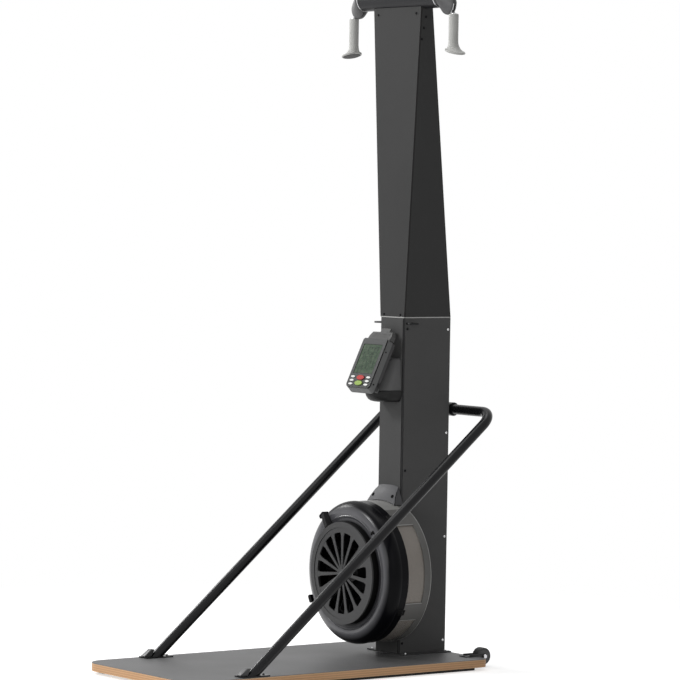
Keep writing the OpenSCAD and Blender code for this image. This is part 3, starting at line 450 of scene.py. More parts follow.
def meshPiece(name, shape, material, bevel=0.0, smoothAngle=40.0):
    mesh = bpy.data.meshes.new(name)
    bmesh.ops.remove_doubles(shape, verts=shape.verts, dist=0.00002)
    bmesh.ops.recalc_face_normals(shape, faces=shape.faces)
    shape.to_mesh(mesh)
    shape.free()
    piece = linked(name, mesh)
    mesh.materials.append(material)
    for face in mesh.polygons:
        face.use_smooth = True
    mesh.set_sharp_from_angle(angle=math.radians(smoothAngle))
    if bevel > 0:
        edge = piece.modifiers.new("edge", "BEVEL")
        edge.width = bevel
        edge.segments = 2
        edge.limit_method = "ANGLE"
        edge.angle_limit = math.radians(35)
    return piece


# Spins an outline of (radius, height) round an axis through a point
def lathe(shape, outline, centre, axis, sides=48, closed=False):
    toAxis = Vector((0, 0, 1)).rotation_difference(Vector(axis)).to_matrix().to_4x4()
    place = Matrix.Translation(centre) @ toAxis
    turns = [2 * math.pi * i / sides for i in range(sides)]
    rings = []
    for radius, height in outline + (outline[:1] if closed else []):
        ring = [(radius * math.cos(turn), radius * math.sin(turn), height) for turn in turns]
        if radius < 1e-7:
            ring = [(0, 0, height)]
        rings.append([shape.verts.new(place @ Vector(point)) for point in ring])
    for low, high in zip(rings, rings[1:]):
        for i in range(sides):
            k = (i + 1) % sides
            corners = [low[i % len(low)], low[k % len(low)], high[k % len(high)], high[i % len(high)]]
            unique = list(dict.fromkeys(corners))
            if len(unique) > 2:
                shape.faces.new(unique)


# Closed skin over rows of points, each a loop; the first and the last are filled
def skin(shape, rows):
    rows = [[shape.verts.new(point) for point in row] for row in rows]
    shape.faces.new(rows[0])
    shape.faces.new(rows[-1][::-1])
    for low, high in zip(rows, rows[1:]):
        for i in range(len(low)):
            k = (i + 1) % len(low)
            shape.faces.new([low[i], high[i], high[k], low[k]])


# A closed slab between a flat outline and its copy moved by a vector
def slab(shape, points, thick):
    skin(shape, [points, [Vector(point) + Vector(thick) for point in points]])


# Screws and rivets, set out by one tree of Geometry Nodes

def screwTree(name, sizes, headMaterial):
    tree = bpy.data.node_groups.new(name, "GeometryNodeTree")
    g = Graph(tree)
    for way in ("INPUT", "OUTPUT"):
        tree.interface.new_socket("Geometry", in_out=way, socket_type="NodeSocketGeometry")
    for label, size in zip(("Head radius", "Head height", "Socket radius"), sizes):
        socket = tree.interface.new_socket(label, in_out="INPUT", socket_type="NodeSocketFloat")
        socket.default_value = size
    entry = tree.nodes.new("NodeGroupInput")
    points, radius, height, socketSize = [Wire(g, entry.outputs[i]) for i in range(4)]

    def cylinder(sides, across, tall):
        return g.add("GeometryNodeMeshCylinder",
            {"Vertices": sides, "Radius": across, "Depth": tall}, "Mesh")

    def lifted(form, rise):
        up = g.add("ShaderNodeCombineXYZ", [0.0, 0.0, rise])
        return g.add("GeometryNodeTransform", {"Geometry": form, "Translation": up})

    def joined(*forms):
        join = g.add("GeometryNodeJoinGeometry")
        for form in forms:
            tree.links.new(form.socket, join.socket.node.inputs[0])
        return join

    def painted(form, material):
        return g.add("GeometryNodeSetMaterial", {"Geometry": form, "Material": material})

    dome = g.add("GeometryNodeMeshCone", {"Vertices": 24, "Radius Top": radius * 0.62,
        "Radius Bottom": radius, "Depth": height * 0.4}, "Mesh")
    head = joined(cylinder(24, radius, height * 0.6), lifted(dome, height * 0.3))
    # painted shade: a black hexagon on the head stands for the shade in its socket
    socketShade = lifted(cylinder(6, socketSize, height * 0.2), height * 0.62)
    whole = joined(painted(head, headMaterial), painted(socketShade, paint["socket"]))
    facing = g.add("GeometryNodeInputNamedAttribute", {"Name": "facing"}, data_type="FLOAT_VECTOR")
    turn = g.add("FunctionNodeAlignRotationToVector", {"Vector": facing}, axis="Z")
    cloud = g.add("GeometryNodeMeshToPoints", {"Mesh": points})
    copies = g.add("GeometryNodeInstanceOnPoints", {"Points": cloud, "Instance": whole, "Rotation": turn})
    g.output("NodeGroupOutput", g.add("GeometryNodeRealizeInstances", {"Geometry": copies}))
    return tree


# Sets screws at (point, direction) places; sizes are head radius, head height and socket radius
def setScrews(name, places, sizes, finish="screwDark"):
    seeds = bpy.data.meshes.new(name + "Seeds")
    seeds.from_pydata([point for point, way in places], [], [])
    facing = seeds.attributes.new("facing", "FLOAT_VECTOR", "POINT")
    for i, (point, way) in enumerate(places):
        facing.data[i].vector = way
    carrier = linked(name, seeds)
    carrier.modifiers.new("screws", "NODES").node_group = screwTree(name, sizes, paint[finish])
    seen = bpy.context.evaluated_depsgraph_get()
    seen.update()
    made = bpy.data.meshes.new_from_object(carrier.evaluated_get(seen))
    carrier.modifiers.clear()
    carrier.data = made
    return carrier


# Dark screws on the column and rail feet; bright rivets, foot screws and the screw in the grille's middle
def fasteners():
    m = machine
    screws = {
        "dark": (0.0042, 0.0036, 0.0017), "bright": (0.004, 0.004, 0.0014),
        "lowerUp": (0.036, 0.6039, 1.068), "lowerIn": 0.015,
        "front": ((0.0435, "seam", 0.01), (0.1015, "upperTop", -0.024)),
        "upperDown": 0.036, "upperIn": 0.022, "upperStep": 0.006, "trim": 0.003,
        "rail": (-0.0334, 0.0468), "plate": 0.0045, "foot": 0.088, "footIn": (0.01, 0.012),
        "rivets": (0.034, 0.345, 0.656, 0.965), "rivetIn": 0.01, "hub": 0.003,
    }
    rise, gain = m["upperTop"] - m["seam"], m["upperHalf"] - m["columnHalf"]
    slope = math.atan2(gain, rise)
    front, rear, plateTop = m["columnFront"], m["columnRear"], m["deckTop"] + screws["plate"]
    dark, bright = [], []
    for side in (-1, 1):
        for height in screws["lowerUp"]:
            point = (side * m["columnHalf"], front + screws["lowerIn"], m["deckTop"] + height)
            dark.append((point, (side, 0, 0)))
        for x, level, up in screws["front"]:
            dark.append(((side * x, front, m[level] + up), (0, -1, 0)))
        for i in range(3):
            z = m["upperTop"] - screws["upperDown"] * (i + 1)
            half = m["columnHalf"] + gain * (z - m["seam"] - screws["trim"]) / (rise - screws["trim"])
            y = front + screws["upperIn"] - screws["upperStep"] * i
            dark.append(((side * half, y, z), (side * math.cos(slope), 0, -math.sin(slope))))
        for y in screws["rail"]:
            dark.append(((side * m["railX"], m["railFoot"] + y, plateTop), (0, 0, 1)))
        for share in screws["rivets"]:
            z = m["deckTop"] + share * (m["seam"] - m["deckTop"])
            bright.append(((side * m["columnHalf"], rear - screws["rivetIn"], z), (side, 0, 0)))
        for y in (front + screws["footIn"][0], rear - screws["footIn"][1]):
            bright.append(((side * screws["foot"], y, plateTop), (0, 0, 1)))
    bright.append(((0, m["grilleFront"] - screws["hub"], m["fanZ"]), (0, -1, 0)))
    darkPiece = setScrews("darkScrewHeads", dark, screws["dark"])
    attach(darkPiece, "base")
    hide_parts("dark_screws")
    brightPiece = setScrews("brightScrewHeads", bright, screws["bright"], "bright")
    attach(brightPiece, "base")
    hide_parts("bright_fasteners")
    print("fasteners set:", len(dark) + len(bright))


fasteners()


# Display

displayFrame = Matrix.Translation((0, display["y"], display["z"]))
displayFrame @= Matrix.Rotation(-display["tilt"], 4, "X")


# Points of the display's own frame, put in place
def onDisplay(*points):
    return [displayFrame @ Vector(point) for point in points]


# A direction of the display's own frame
def alongDisplay(vector):
    return displayFrame.to_3x3() @ Vector(vector)


# A thin flat bar on the screen, from one corner to the other
def screenBar(shape, x0, z0, x1, z1):
    level, thick = 0.0007, 0.00012
    corners = onDisplay((x0, level, z0), (x1, level, z0), (x1, level, z1), (x0, level, z1))
    slab(shape, corners, alongDisplay((0, -thick, 0)))


segmentsOf = {
    "0": "abcdef", "1": "bc", "2": "abged", "3": "abgcd", "4": "fgbc", "5": "afgcd",
    "6": "afgedc", "7": "abc", "8": "abcdefg", "9": "abcdfg",
}


# Digits of seven segments: each segment is a box of (left, low, right, high)
def digitBars(shape, text, x, z, size):
    share = {"wide": 0.5, "bar": 0.3, "gap": 0.18, "next": 0.72, "dots": (0.28, 0.66), "dotsNext": 0.9}
    wide, bar, gap, tall = [size * share[k] for k in ("wide", "bar", "gap")] + [size / 2]

    def level(low):
        return (gap, low - bar / 2, wide - gap, low + bar / 2)

    def upright(left, low):
        return (left - bar / 2, low + gap, left + bar / 2, low + tall - gap)

    boxes = {"a": level(size), "g": level(tall), "d": level(0), "f": upright(0, tall),
        "b": upright(wide, tall), "e": upright(0, 0), "c": upright(wide, 0)}
    for letter in text:
        if letter == ":":
            for up in share["dots"]:
                screenBar(shape, x, z + up * size, x + bar, z + up * size + bar)
            x += size * share["dotsNext"]
            continue
        for name in segmentsOf[letter]:
            left, low, right, high = boxes[name]
            screenBar(shape, x + left, z + low, x + right, z + high)
        x += wide + size * share["next"]


def screenDetails():
    screen = {
        "rows": [("12:40", -0.037, 0.043, 0.0145), ("2:15", 0.014, 0.043, 0.0145),
            ("500", -0.037, 0.018, 0.0165), ("32", 0.01, 0.018, 0.0165),
            ("1250", -0.037, -0.004, 0.0125), ("96", 0.016, -0.004, 0.0125),
            ("184", -0.037, -0.026, 0.0145), ("27", 0.014, -0.026, 0.0145)],
        "rules": (0.0375, 0.0125, -0.0098), "half": 0.044, "thick": 0.0006,
    }
    shape = bmesh.new()
    for row in screen["rows"]:
        digitBars(shape, *row)
    for z in screen["rules"]:
        screenBar(shape, -screen["half"], z, screen["half"], z + screen["thick"])
    piece = meshPiece("screenSegments", shape, paint["digits"])
    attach(piece, "display")


def displayFittings():
    # ribbed pad on the slope of the ledge, where the phone rests
    pad = {"half": 0.046, "foot": (0, 0.013, 0.094), "head": (0, 0.0168, 0.1142), "thick": 0.0011,
        "sunk": 0.0004, "ribs": 6, "share": 0.72}
    foot, way = Vector(pad["foot"]), Vector(pad["head"]) - Vector(pad["foot"])
    out = Vector((0, -way.z, way.y)).normalized()
    wide = Vector((pad["half"], 0, 0))
    shape = bmesh.new()
    for i in range(pad["ribs"]):
        low, high = [foot + way * (k / pad["ribs"]) - out * pad["sunk"] for k in (i, i + pad["share"])]
        slab(shape, onDisplay(low - wide, low + wide, high + wide, high - wide),
            alongDisplay(out * (pad["thick"] + pad["sunk"])))
    strip = meshPiece("ledgePad", shape, paint["holder"], 0.0003)
    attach(strip, "display")

    # thin dark frame round the screen
    rims = {"outer": (0.0508, -0.0388, 0.0668), "inner": (0.0492, -0.0372, 0.0652),
        "front": -0.0002, "thick": 0.0012}
    outer, inner = [[(-x, low), (x, low), (x, high), (-x, high)]
        for x, low, high in (rims["outer"], rims["inner"])]
    shape = bmesh.new()
    for k in range(4):
        n = (k + 1) % 4
        corners = [(x, rims["front"], z) for x, z in (outer[k], outer[n], inner[n], inner[k])]
        slab(shape, onDisplay(*corners), alongDisplay((0, rims["thick"], 0)))
    bezel = meshPiece("screenBezel", shape, paint["rubber"], 0.0002)
    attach(bezel, "display")

    screws = {"at": [(0.0641, 0.0125, 0.045), (0.0641, 0.0125, -0.07)], "sizes": (0.0026, 0.0012, 0.0012)}
    places = [(displayFrame @ Vector((k * x, y, z)), alongDisplay((k, 0, 0)))
        for x, y, z in screws["at"] for k in (-1, 1)]
    piece = setScrews("displayScrews", places, screws["sizes"])
    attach(piece, "display")


screenDetails()
displayFittings()
print("display finished")


# Handles

# Dark sole under each grip, on its slanted end, and the bright ferrule where the cord goes in
def gripBases():
    foot = {"out": 0.01, "radius": 0.034, "rim": 0.004, "length": 0.133, "tilt": 15.0,
        "outline": [(0, 0.0009), (0.02, 0.0009), (0.0285, 0.0007), (0.0305, -0.0004), (0, -0.0004)]}
    ferrule = [(0.0027, -0.0005), (0.0095, -0.0005), (0.009, 0.0018), (0.0065, 0.003), (0.0036, 0.0045),
        (0.0027, 0.0045)]
    for side, word in hands:
        tilt = math.radians(foot["tilt"]) * side
        rise = (foot["radius"] - foot["rim"]) * math.sin(abs(tilt)) - foot["length"]
        top = machinePoint(side, "cordX", "barY", "gripTop")
        down = Matrix.Rotation(tilt, 3, "Y") @ Vector((0, 0, -1))
        shape = bmesh.new()
        lathe(shape, foot["outline"], top + Vector((side * foot["out"], 0, rise)), down)
        piece = meshPiece("gripBase" + word.title(), shape, paint["gripBase"])
        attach(piece, "handle_" + word)

        shape = bmesh.new()
        lathe(shape, ferrule, top, (0, 0, 1), 32, closed=True)
        cap = meshPiece("cordFerrule" + word.title(), shape, paint["bright"])
        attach(cap, "handle_" + word)


# Stretch of cord between each head and its handle
def handleCords():
    cord = {"radius": 0.0025, "rings": 24, "sides": 20}
    low = machine["gripTop"]
    length = machine["pulleyZ"] - low
    rings = [(cord["radius"], length * i / cord["rings"]) for i in range(cord["rings"] + 1)]
    for side, word in hands:
        start = machinePoint(side, "cordX", "barY", "pulleyZ")
        shape = bmesh.new()
        lathe(shape, [(0, 0), *rings, (0, length)], start, (0, 0, -1), cord["sides"])
        piece = meshPiece("handleCord" + word.title(), shape, paint["cord" + word.title()])
        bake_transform(piece)
        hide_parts("cord_drop_" + word)


gripBases()
handleCords()
print("handles finished")


# Pulley heads

# For each head, the bright lining of its slot and the screws of its casing
def headFittings():
    head = {"half": 0.014, "slot": (-57, 2), "steps": 14, "ring": 0.0185,
        "screws": (0.0023, 0.001, 0.001),
        "section": [(0.0318, 0.005), (0.0345, 0.005), (0.0345, 0.0066), (0.0318, 0.0066)]}
    first, last = [math.radians(a) for a in head["slot"]]
    turns = [first + (last - first) * i / head["steps"] for i in range(head["steps"] + 1)]
    for side, word in hands:
        centre = machinePoint(side, "headX", "barY", "pulleyZ")

        def around(radius, turn, depth):
            return centre + Vector((side * radius * math.cos(turn), depth, radius * math.sin(turn)))

        # bright lining round the slot where the cord comes out
        shape = bmesh.new()
        for edge in (-1, 1):
            skin(shape, [[around(radius, turn, edge * wide) for radius, wide in head["section"]]
                for turn in turns])
        trim = meshPiece("cordExitTrim" + word.title(), shape, paint["bright"], 0.0003)
        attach(trim, "head_" + word)

        places = [(around(head["ring"], math.radians(angle), face * head["half"]), (0, face, 0))
            for face in (-1, 1) for angle in (90, 210, 330)]
        screws = setScrews("headScrews" + word.title(), places, head["screws"])
        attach(screws, "head_" + word)


headFittings()
print("pulley heads finished")


# Transport wheels: grooved tyres, hubs and the nuts at the axles' ends

def transportWheels():
    tyre = {"radius": 0.028, "bore": 0.0053, "half": 0.015, "sunk": 0.0012, "step": 0.005,
        "groove": [(0, -0.0008), (0.0009, -0.0004), (0.0009, 0.0004), (0, 0.0008)],
        "wall": [(0.021, 0.0012), (0.0222, 0), (0.0262, 0.0004), (0.0276, 0.0016)]}
    hub = {"face": 0.0149, "outline": [(0.0054, 0), (0.0215, 0), (0.0205, 0.0004), (0.018, 0.00045),
        (0.0054, 0.00045)]}
    nut = {"face": 0.0184, "outline": [(0, 0), (0.0075, 0), (0.0075, 0.0034), (0.0066, 0.0046),
        (0, 0.0046)]}
    wall = [(tyre["bore"], tyre["sunk"]), *tyre["wall"]]
    outline = [(radius, inset - tyre["half"]) for radius, inset in wall]
    for k in (-2, -1, 0, 1, 2):
        outline += [(tyre["radius"] - deep, k * tyre["step"] + along) for deep, along in tyre["groove"]]
    outline += [(radius, tyre["half"] - inset) for radius, inset in reversed(wall)]
    for side, word in hands:
        centre = machinePoint(side, "wheelX", "wheelY", "wheelZ")
        shape = bmesh.new()
        lathe(shape, outline, centre, (1, 0, 0), 96, closed=True)
        piece = meshPiece("tyre" + word.title(), shape, paint["wheel"], 0.0, 30)
        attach(piece, "wheel_" + word)
        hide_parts("wheel_" + word)

    for side, word in hands:
        centre = machinePoint(side, "wheelX", "wheelY", "wheelZ")
        hubs, ends = bmesh.new(), bmesh.new()
        for face in (-1, 1):
            out = Vector((face, 0, 0))
            lathe(hubs, hub["outline"], centre + out * hub["face"], out, 40, closed=True)
            lathe(ends, nut["outline"], centre + out * nut["face"], out, 6)
        piece = meshPiece("wheelHub" + word.title(), hubs, paint["hub"])
        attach(piece, "wheel_" + word)
        nuts = meshPiece("axleNuts" + word.title(), ends, paint["steel"], 0.0004, 25)
        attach(nuts, "base")


transportWheels()
print("wheels finished")


# Fan

# A point by its radius, its angle from the machine's right, and its depth in front of the column
def fanPoint(radius, degrees, depth):
    a = math.radians(degrees)
    z = machine["fanZ"] + radius * math.sin(a)
    return Vector((radius * math.cos(a), machine["columnFront"] - depth, z))


# A ring round the fan's axis, from a depth in front of the column
def fanRing(shape, outline, depth, sides):
    lathe(shape, outline, fanPoint(0, 0, depth), (0, -1, 0), sides, closed=True)


# A block of the fan's own frame, from low to high in radius, depth and width across
def fanBlock(shape, degrees, radii, depths, widths):
    a = math.radians(degrees)
    across = Vector((-math.sin(a), 0, math.cos(a)))
    corners = [fanPoint(radii[i], degrees, depths[0]) + across * widths[k]
        for i, k in ((0, 0), (1, 0), (1, 1), (0, 1))]
    slab(shape, corners, (0, depths[0] - depths[1], 0))


def damperWithLever():
    ring = {"outer": 0.167, "inner": 0.159, "back": 0.16535, "thick": 0.02, "edge": 0.0006}
    inner, outer, edge, thick = [ring[k] for k in ("inner", "outer", "edge", "thick")]
    shape = bmesh.new()
    section = [(inner, 0), (outer - edge, 0), (outer, edge), (outer, thick - edge), (outer - edge, thick),
        (inner, thick)]
    fanRing(shape, section, ring["back"], 144)
    piece = meshPiece("damperRing", shape, paint["damper"], 0.0003)
    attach(piece, "damper")
    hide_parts("damper_ring")

    # hollow lever: a root on the ring, then a plate with four walls behind it
    lever = {"angle": 121.0, "root": (0.1615, 0.1715), "rootDeep": (0.17, 0.1845),
        "body": (0.1695, 0.2145), "deep": (0.17, 0.1905), "front": (0.19, 0.1925),
        "half": 0.0075, "side": 0.0018, "end": 0.0025}
    half, side, end = lever["half"], lever["side"], lever["end"]
    (low, high), deep = lever["body"], lever["deep"]
    shape = bmesh.new()
    for radii, depths, widths in (
            (lever["root"], lever["rootDeep"], (-half, half)),
            ((low, high), lever["front"], (-half, half)),
            ((low, high), deep, (-half, side - half)), ((low, high), deep, (half - side, half)),
            ((high - end, high), deep, (-half, half)), ((low, low + end), deep, (-half, half))):
        fanBlock(shape, lever["angle"], radii, depths, widths)
    handle = meshPiece("damperLever", shape, paint["lever"], 0.0009)
    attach(handle, "damper")


def fanTrim():
    # bright edges of the rear sheet and of the plates across the band, a painted highlight
    sheet = {"back": 0.0006, "section": [(0.2318, 0), (0.2325, 0), (0.2325, 0.0012), (0.2318, 0.0012)],
        "plates": (-37.5, -21.5, 45.5, 134.5, 201.5, 217.5),
        "edge": ((0.231, 0.2334), (0.025, 0.0915), (-0.0007, 0.0007))}
    shape = bmesh.new()
    fanRing(shape, sheet["section"], sheet["back"], 160)
    for degrees in sheet["plates"]:
        fanBlock(shape, degrees, *sheet["edge"])
    # painted highlight: pale strips along the edges
    edgeHighlights = meshPiece("fanEdgeHighlights", shape, paint["trim"])
    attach(edgeHighlights, "base")

    # black latches between the front shell and the plates, and the clip on the shell
    latch = {"at": {-29.5: 0.2336, 54: 0.2336, 209.5: 0.229}, "root": 0.223, "hook": -0.001,
        "body": ((0.084, 0.112), (-0.011, 0.011)), "lip": ((0.111, 0.12), (-0.0075, 0.0075)),
        "step": 0.0016, "bolt": (0.0062, 0.003, 0.003), "boltDepth": 0.098, "clipAt": 46,
        "clip": (((0.1885, 0.203), (0.1585, 0.17), (-0.0065, 0.0065)),
            ((0.1905, 0.201), (0.169, 0.1745), (-0.0045, 0.0045)))}
    root = latch["root"]
    shape = bmesh.new()
    places = []
    for degrees, radius in latch["at"].items():
        fanBlock(shape, degrees, (root, radius), *latch["body"])
        fanBlock(shape, degrees, (root + latch["hook"], radius - latch["step"]), *latch["lip"])
        a = math.radians(degrees)
        places.append((fanPoint(radius, degrees, latch["boltDepth"]), (math.cos(a), 0, math.sin(a))))
    for block in latch["clip"]:
        fanBlock(shape, latch["clipAt"], *block)
    latches = meshPiece("fanLatches", shape, paint["damper"], 0.0018)
    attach(latches, "base")
    bolts = setScrews("latchBolts", places, latch["bolt"])
    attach(bolts, "base")

    # ridge round the opening of the front shell
    ridge = {"depth": 0.1664, "section": [(0.1845, 0), (0.185, 0.0012), (0.1862, 0.002),
        (0.1874, 0.0012), (0.188, 0)]}
    shape = bmesh.new()
    fanRing(shape, ridge["section"], ridge["depth"], 160)
    piece = meshPiece("shellRidge", shape, paint["shell"])
    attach(piece, "base")


# Cowl between the column and the fan: a plate that widens and bends down, with two black discs as painted
# shade in its holes
def fanCowl():
    # each row has a radius, a depth and half an angle
    cowl = {
        "rows": [(0.2842, 0.0018, 10.5), (0.27, 0.0155, 12.6), (0.2543, 0.0265, 15.0),
            (0.2345, 0.037, 19.0)],
        "back": 0.0006, "steps": 10, "sunk": 0.001, "line": 0.0016, "lineThick": 0.0004,
        "plug": (0.2543, 11.7, 0.0058, 0.0009), "plugRoot": -0.003,
    }
    rows, steps = cowl["rows"], cowl["steps"]

    # angles run from straight up, towards the machine's right
    def at(radius, depth, degrees):
        return fanPoint(radius, 90 - degrees, depth)

    shape = bmesh.new()
    fronts, backs = [], []
    for radius, depth, wide in rows:
        turns = [wide * (2 * i / steps - 1) for i in range(steps + 1)]
        fronts.append([shape.verts.new(at(radius, depth, turn)) for turn in turns])
        backs.append([shape.verts.new(at(radius, cowl["back"], turn)) for turn in turns])
    ends = [(fronts[0], backs[0]), (fronts[-1], backs[-1])]
    for one, two in [*ends, *zip(fronts, fronts[1:]), *zip(backs, backs[1:])]:
        for i in range(steps):
            shape.faces.new([one[i], one[i + 1], two[i + 1], two[i]])
    for i in (0, steps):
        for k in range(len(rows) - 1):
            shape.faces.new([fronts[k][i], fronts[k + 1][i], backs[k + 1][i], backs[k][i]])
    piece = meshPiece("cowlPlate", shape, paint["cowl"], 0.0012, 28)
    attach(piece, "base")
    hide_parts("fan_cowl")

    # black discs as painted shade in the two holes, and the dark joint between the plate and its side
    # walls
    radius, turn, size, rise = cowl["plug"]
    fall, reach = [rows[3][i] - rows[1][i] for i in (0, 1)]
    shape = bmesh.new()
    for side in (-1, 1):
        a = math.radians(turn * side)
        out = Vector((reach * math.sin(a), fall, reach * math.cos(a))).normalized()
        lathe(shape, [(0, cowl["plugRoot"]), (size, cowl["plugRoot"]), (size, rise), (0, rise)],
            at(radius, rows[2][1], turn * side), out, 24)
        for (ra, da, wa), (rb, db, wb) in zip(rows[1:], rows[2:]):
            deep = cowl["sunk"] + cowl["line"]
            corners = [at(ra, da - cowl["sunk"], wa * side), at(rb, db - cowl["sunk"], wb * side),
                at(rb, db - deep, wb * side), at(ra, da - deep, wa * side)]
            slab(shape, corners, (side * cowl["lineThick"], 0, 0))
    holeShades = meshPiece("cowlHoleShades", shape, paint["socket"], 0.0, 30)
    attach(holeShades, "base")


damperWithLever()
fanTrim()
fanCowl()
print("fan finished")


# Flattened end of each side rail's tube, bent down onto its foot plate, painted paler than the rail as a
# painted highlight
def railFeet():
    tongue = {"start": 0.0235, "reach": 0.024, "half": 0.0105, "root": 0.004, "lean": 0.012, "up": 0.0042,
        "rise": 0.023, "thick": 0.003}
    low, start = machine["deckTop"] + tongue["up"], machine["railFoot"] - tongue["start"]
    root, top = start + tongue["root"], low + tongue["rise"]
    outline = [(start - tongue["reach"], low), (root, low), (root + tongue["lean"], top), (root, top),
        (start - tongue["reach"], low + tongue["thick"])]
    shape = bmesh.new()
    for side in (-1, 1):
        x = side * machine["railX"] - tongue["half"]
        slab(shape, [(x, y, z) for y, z in outline], (2 * tongue["half"], 0, 0))
    piece = meshPiece("railTongues", shape, paint["worn"], 0.0012)
    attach(piece, "base")


railFeet()
print("rails finished")


# Closed skin over half-round rows that stand on the column: each row has a height, half width and reach
def halfRound(shape, levels, back, straight, steps=32):
    rows = []
    turns = [math.pi * i / steps for i in range(steps + 1)]
    for z, half, reach in levels:
        bulge = [straight + (1 - straight) * math.sin(a) for a in turns]
        curve = [(half * math.cos(a), back - reach * share, z) for a, share in zip(turns, bulge)]
        rows.append([(half, back, z), *curve, (-half, back, z)])
    skin(shape, rows)


# Mount of the display: a cone on a round cup, with two ears that hold the hinge pin
def displayMount():
    mount = {
        "back": 0.3677, "straight": 0.35, "ear": (0.036, 0.044), "earDepth": (0.0345, 0.056),
        "earUp": (-0.083, -0.069), "pin": (0.0365, -0.076), "pinRadius": 0.0026,
        "knob": (0.0444, 0.0078, 0.012),
        "cone": [(0.903, 0.0545, 0.088), (0.905, 0.056, 0.09), (0.916, 0.0555, 0.085),
            (0.96, 0.0535, 0.0655), (1.0, 0.0515, 0.048), (1.006, 0.0495, 0.042),
            (1.008, 0.046, 0.036)],
        "cup": [(0.8655, 0.044, 0.058), (0.868, 0.05, 0.07), (0.874, 0.0545, 0.08),
            (0.883, 0.0572, 0.087), (0.892, 0.0582, 0.0905), (0.9015, 0.0585, 0.0915),
            (0.903, 0.057, 0.09)],
    }
    shape = bmesh.new()
    halfRound(shape, mount["cone"], mount["back"], mount["straight"])
    near, far = mount["ear"]
    front, rear = mount["earDepth"]
    down, top = mount["earUp"]
    for low, high in ((-far, -near), (near, far)):
        corners = [(low, front, down), (high, front, down), (high, front, top), (low, front, top)]
        slab(shape, onDisplay(*corners), alongDisplay((0, rear - front, 0)))
    pin = [(0, -far), (mount["pinRadius"], -far), (mount["pinRadius"], far), (0, far)]
    lathe(shape, pin, onDisplay((0, *mount["pin"]))[0], (1, 0, 0), 24)
    cone = meshPiece("displayMount", shape, paint["mount"], 0.001, 50)
    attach(cone, "base")
    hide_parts("console_mount")

    shape = bmesh.new()
    halfRound(shape, mount["cup"], mount["back"], mount["straight"])
    cup = meshPiece("mountCup", shape, paint["cup"], 0.0, 50)
    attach(cup, "base")

    # round end caps of the hinge, a screw in each
    start, r, w = mount["knob"]
    outline = [(0, 0), (r * 0.9, 0), (r, 0.001), (r, w - 0.0016), (r * 0.86, w), (r * 0.55, w),
        (r * 0.5, w - 0.0012), (r * 0.22, w - 0.0012), (r * 0.2, w - 0.0004), (0, w - 0.0004)]
    shape = bmesh.new()
    for side in (-1, 1):
        lathe(shape, outline, onDisplay((side * start, *mount["pin"]))[0], (side, 0, 0), 32)
    knobs = meshPiece("hingeKnobs", shape, paint["rearCase"], 0.0, 30)
    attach(knobs, "base")


displayMount()
print("mount finished")


# Camera of the photograph, solved from the edges of the deck and column
def lookFromPhotograph():
    shot = {"azimuth": 53.355, "pitch": 2.257, "roll": 0.943, "away": 11.995058,
        "right": -0.321974, "up": 0.02791, "focalPixels": 3619.411,
        "pixels": 680.0, "sensor": 36.0, "target": (0.0, 0.558, 1.037)}
    a, p, r = [math.radians(shot[k]) for k in ("azimuth", "pitch", "roll")]
    back = Vector((math.sin(a) * math.cos(p), -math.cos(a) * math.cos(p), math.sin(p)))
    level = Vector((math.cos(a), math.sin(a), 0))
    upright = back.cross(level)
    across = level * math.cos(r) + upright * math.sin(r)
    up = upright * math.cos(r) - level * math.sin(r)
    spot = Vector(shot["target"]) + back * shot["away"] + across * shot["right"] + up * shot["up"]
    data = bpy.data.cameras.new("photoCamera")
    data.sensor_width = shot["sensor"]
    data.lens = shot["focalPixels"] * shot["sensor"] / shot["pixels"]
    data.clip_end = 100.0
    camera = linked("photoCamera", data)
    turn = Matrix((across, up, back)).transposed().to_4x4()
    camera.matrix_world = Matrix.Translation(spot) @ turn
    scene.camera = camera


def lamp(name, place, aim, size, power):
    data = bpy.data.lights.new(name, "AREA")
    data.shape = "RECTANGLE"
    data.size, data.size_y = size
    data.energy = power
    light = linked(name, data)
    light.location = place
    light.rotation_euler = (Vector(aim) - Vector(place)).to_track_quat("-Z", "Y").to_euler()


# One for what the camera sees straight, in a mirror or through glass
def mirrored(g):
    rays = g.add("ShaderNodeLightPath").socket.node
    kinds = ("Is Camera Ray", "Is Glossy Ray", "Is Transmission Ray")
    camera, glossy, through = [Wire(g, rays.outputs[kind]) for kind in kinds]
    return g.sum("MINIMUM", camera + glossy + through, 1.0)


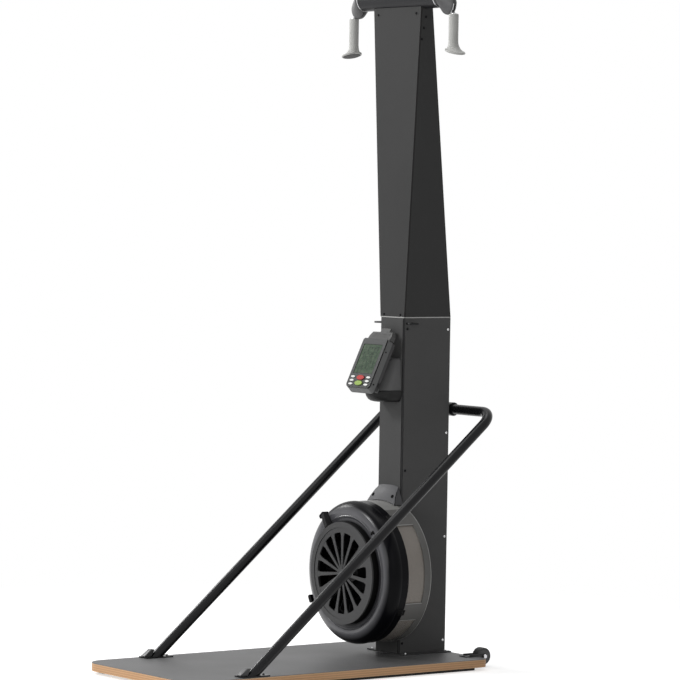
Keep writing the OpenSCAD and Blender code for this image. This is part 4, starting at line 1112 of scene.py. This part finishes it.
def studio():
    room = {"sky": 0.22, "fade": (1.5, 2.6), "floor": 0.6, "half": 9, "matt": 0.86}
    # each lamp has a place, a point it is aimed at, a size and a power
    lamps = {
        "keyLamp": ((-2.6, -4.6, 4.4), (0, 0.2, 1.0), (1.0, 1.0), 150.0),
        "fillLamp": ((4.6, -1.6, 2.2), (0, 0.3, 0.9), (2.5, 2.5), 9.0),
        "topLamp": ((-0.6, 0.2, 5.2), (0, 0.1, 1.0), (3.0, 3.0), 85.0),
        "stripLamp": ((1.2, -4.3, 1.5), (0, 0.2, 0.4), (0.22, 2.0), 42.0),
        "sideLamp": ((-4.4, -0.6, 3.0), (0, 0.2, 0.6), (1.0, 1.0), 60.0),
    }
    for name, values in lamps.items():
        lamp(name, *values)
    white = (1.0, 1.0, 1.0, 1.0)
    world = bpy.data.worlds.new("studio")
    world.use_nodes = True
    g = Graph(world.node_tree)
    bright = mirrored(g) * (1.0 - room["sky"]) + room["sky"]
    g.output("ShaderNodeOutputWorld", g.add("ShaderNodeBackground", [white, bright]))
    scene.world = world

    # the floor is matt near the machine and fades into the white beyond it
    material = bpy.data.materials.new("studioFloor")
    material.use_nodes = True
    g = Graph(material.node_tree)
    x, y, z = g.split(g.place())
    start, end = room["fade"]
    far = g.clamp(((x * x + y * y) ** 0.5 - start) / (end - start))
    seen = mirrored(g)
    matt = g.add("ShaderNodeBsdfDiffuse", {"Color": (*[room["matt"]] * 3, 1.0)})
    glow = g.add("ShaderNodeEmission", {"Color": white, "Strength": seen * room["floor"]})
    beyond = g.add("ShaderNodeEmission", {"Color": white, "Strength": 1.0})
    near = g.add("ShaderNodeAddShader", [matt, glow])
    g.output("ShaderNodeOutputMaterial", g.add("ShaderNodeMixShader", [seen * far, near, beyond]))
    shape = bmesh.new()
    shape.faces.new([shape.verts.new((x * room["half"], y * room["half"], 0))
        for x, y in ((-1, -1), (1, -1), (1, 1), (-1, 1))])
    floor = meshPiece("studioFloor", shape, material)


lookFromPhotograph()
studio()
scene.view_settings.view_transform = "Standard"
print("camera and studio ready")

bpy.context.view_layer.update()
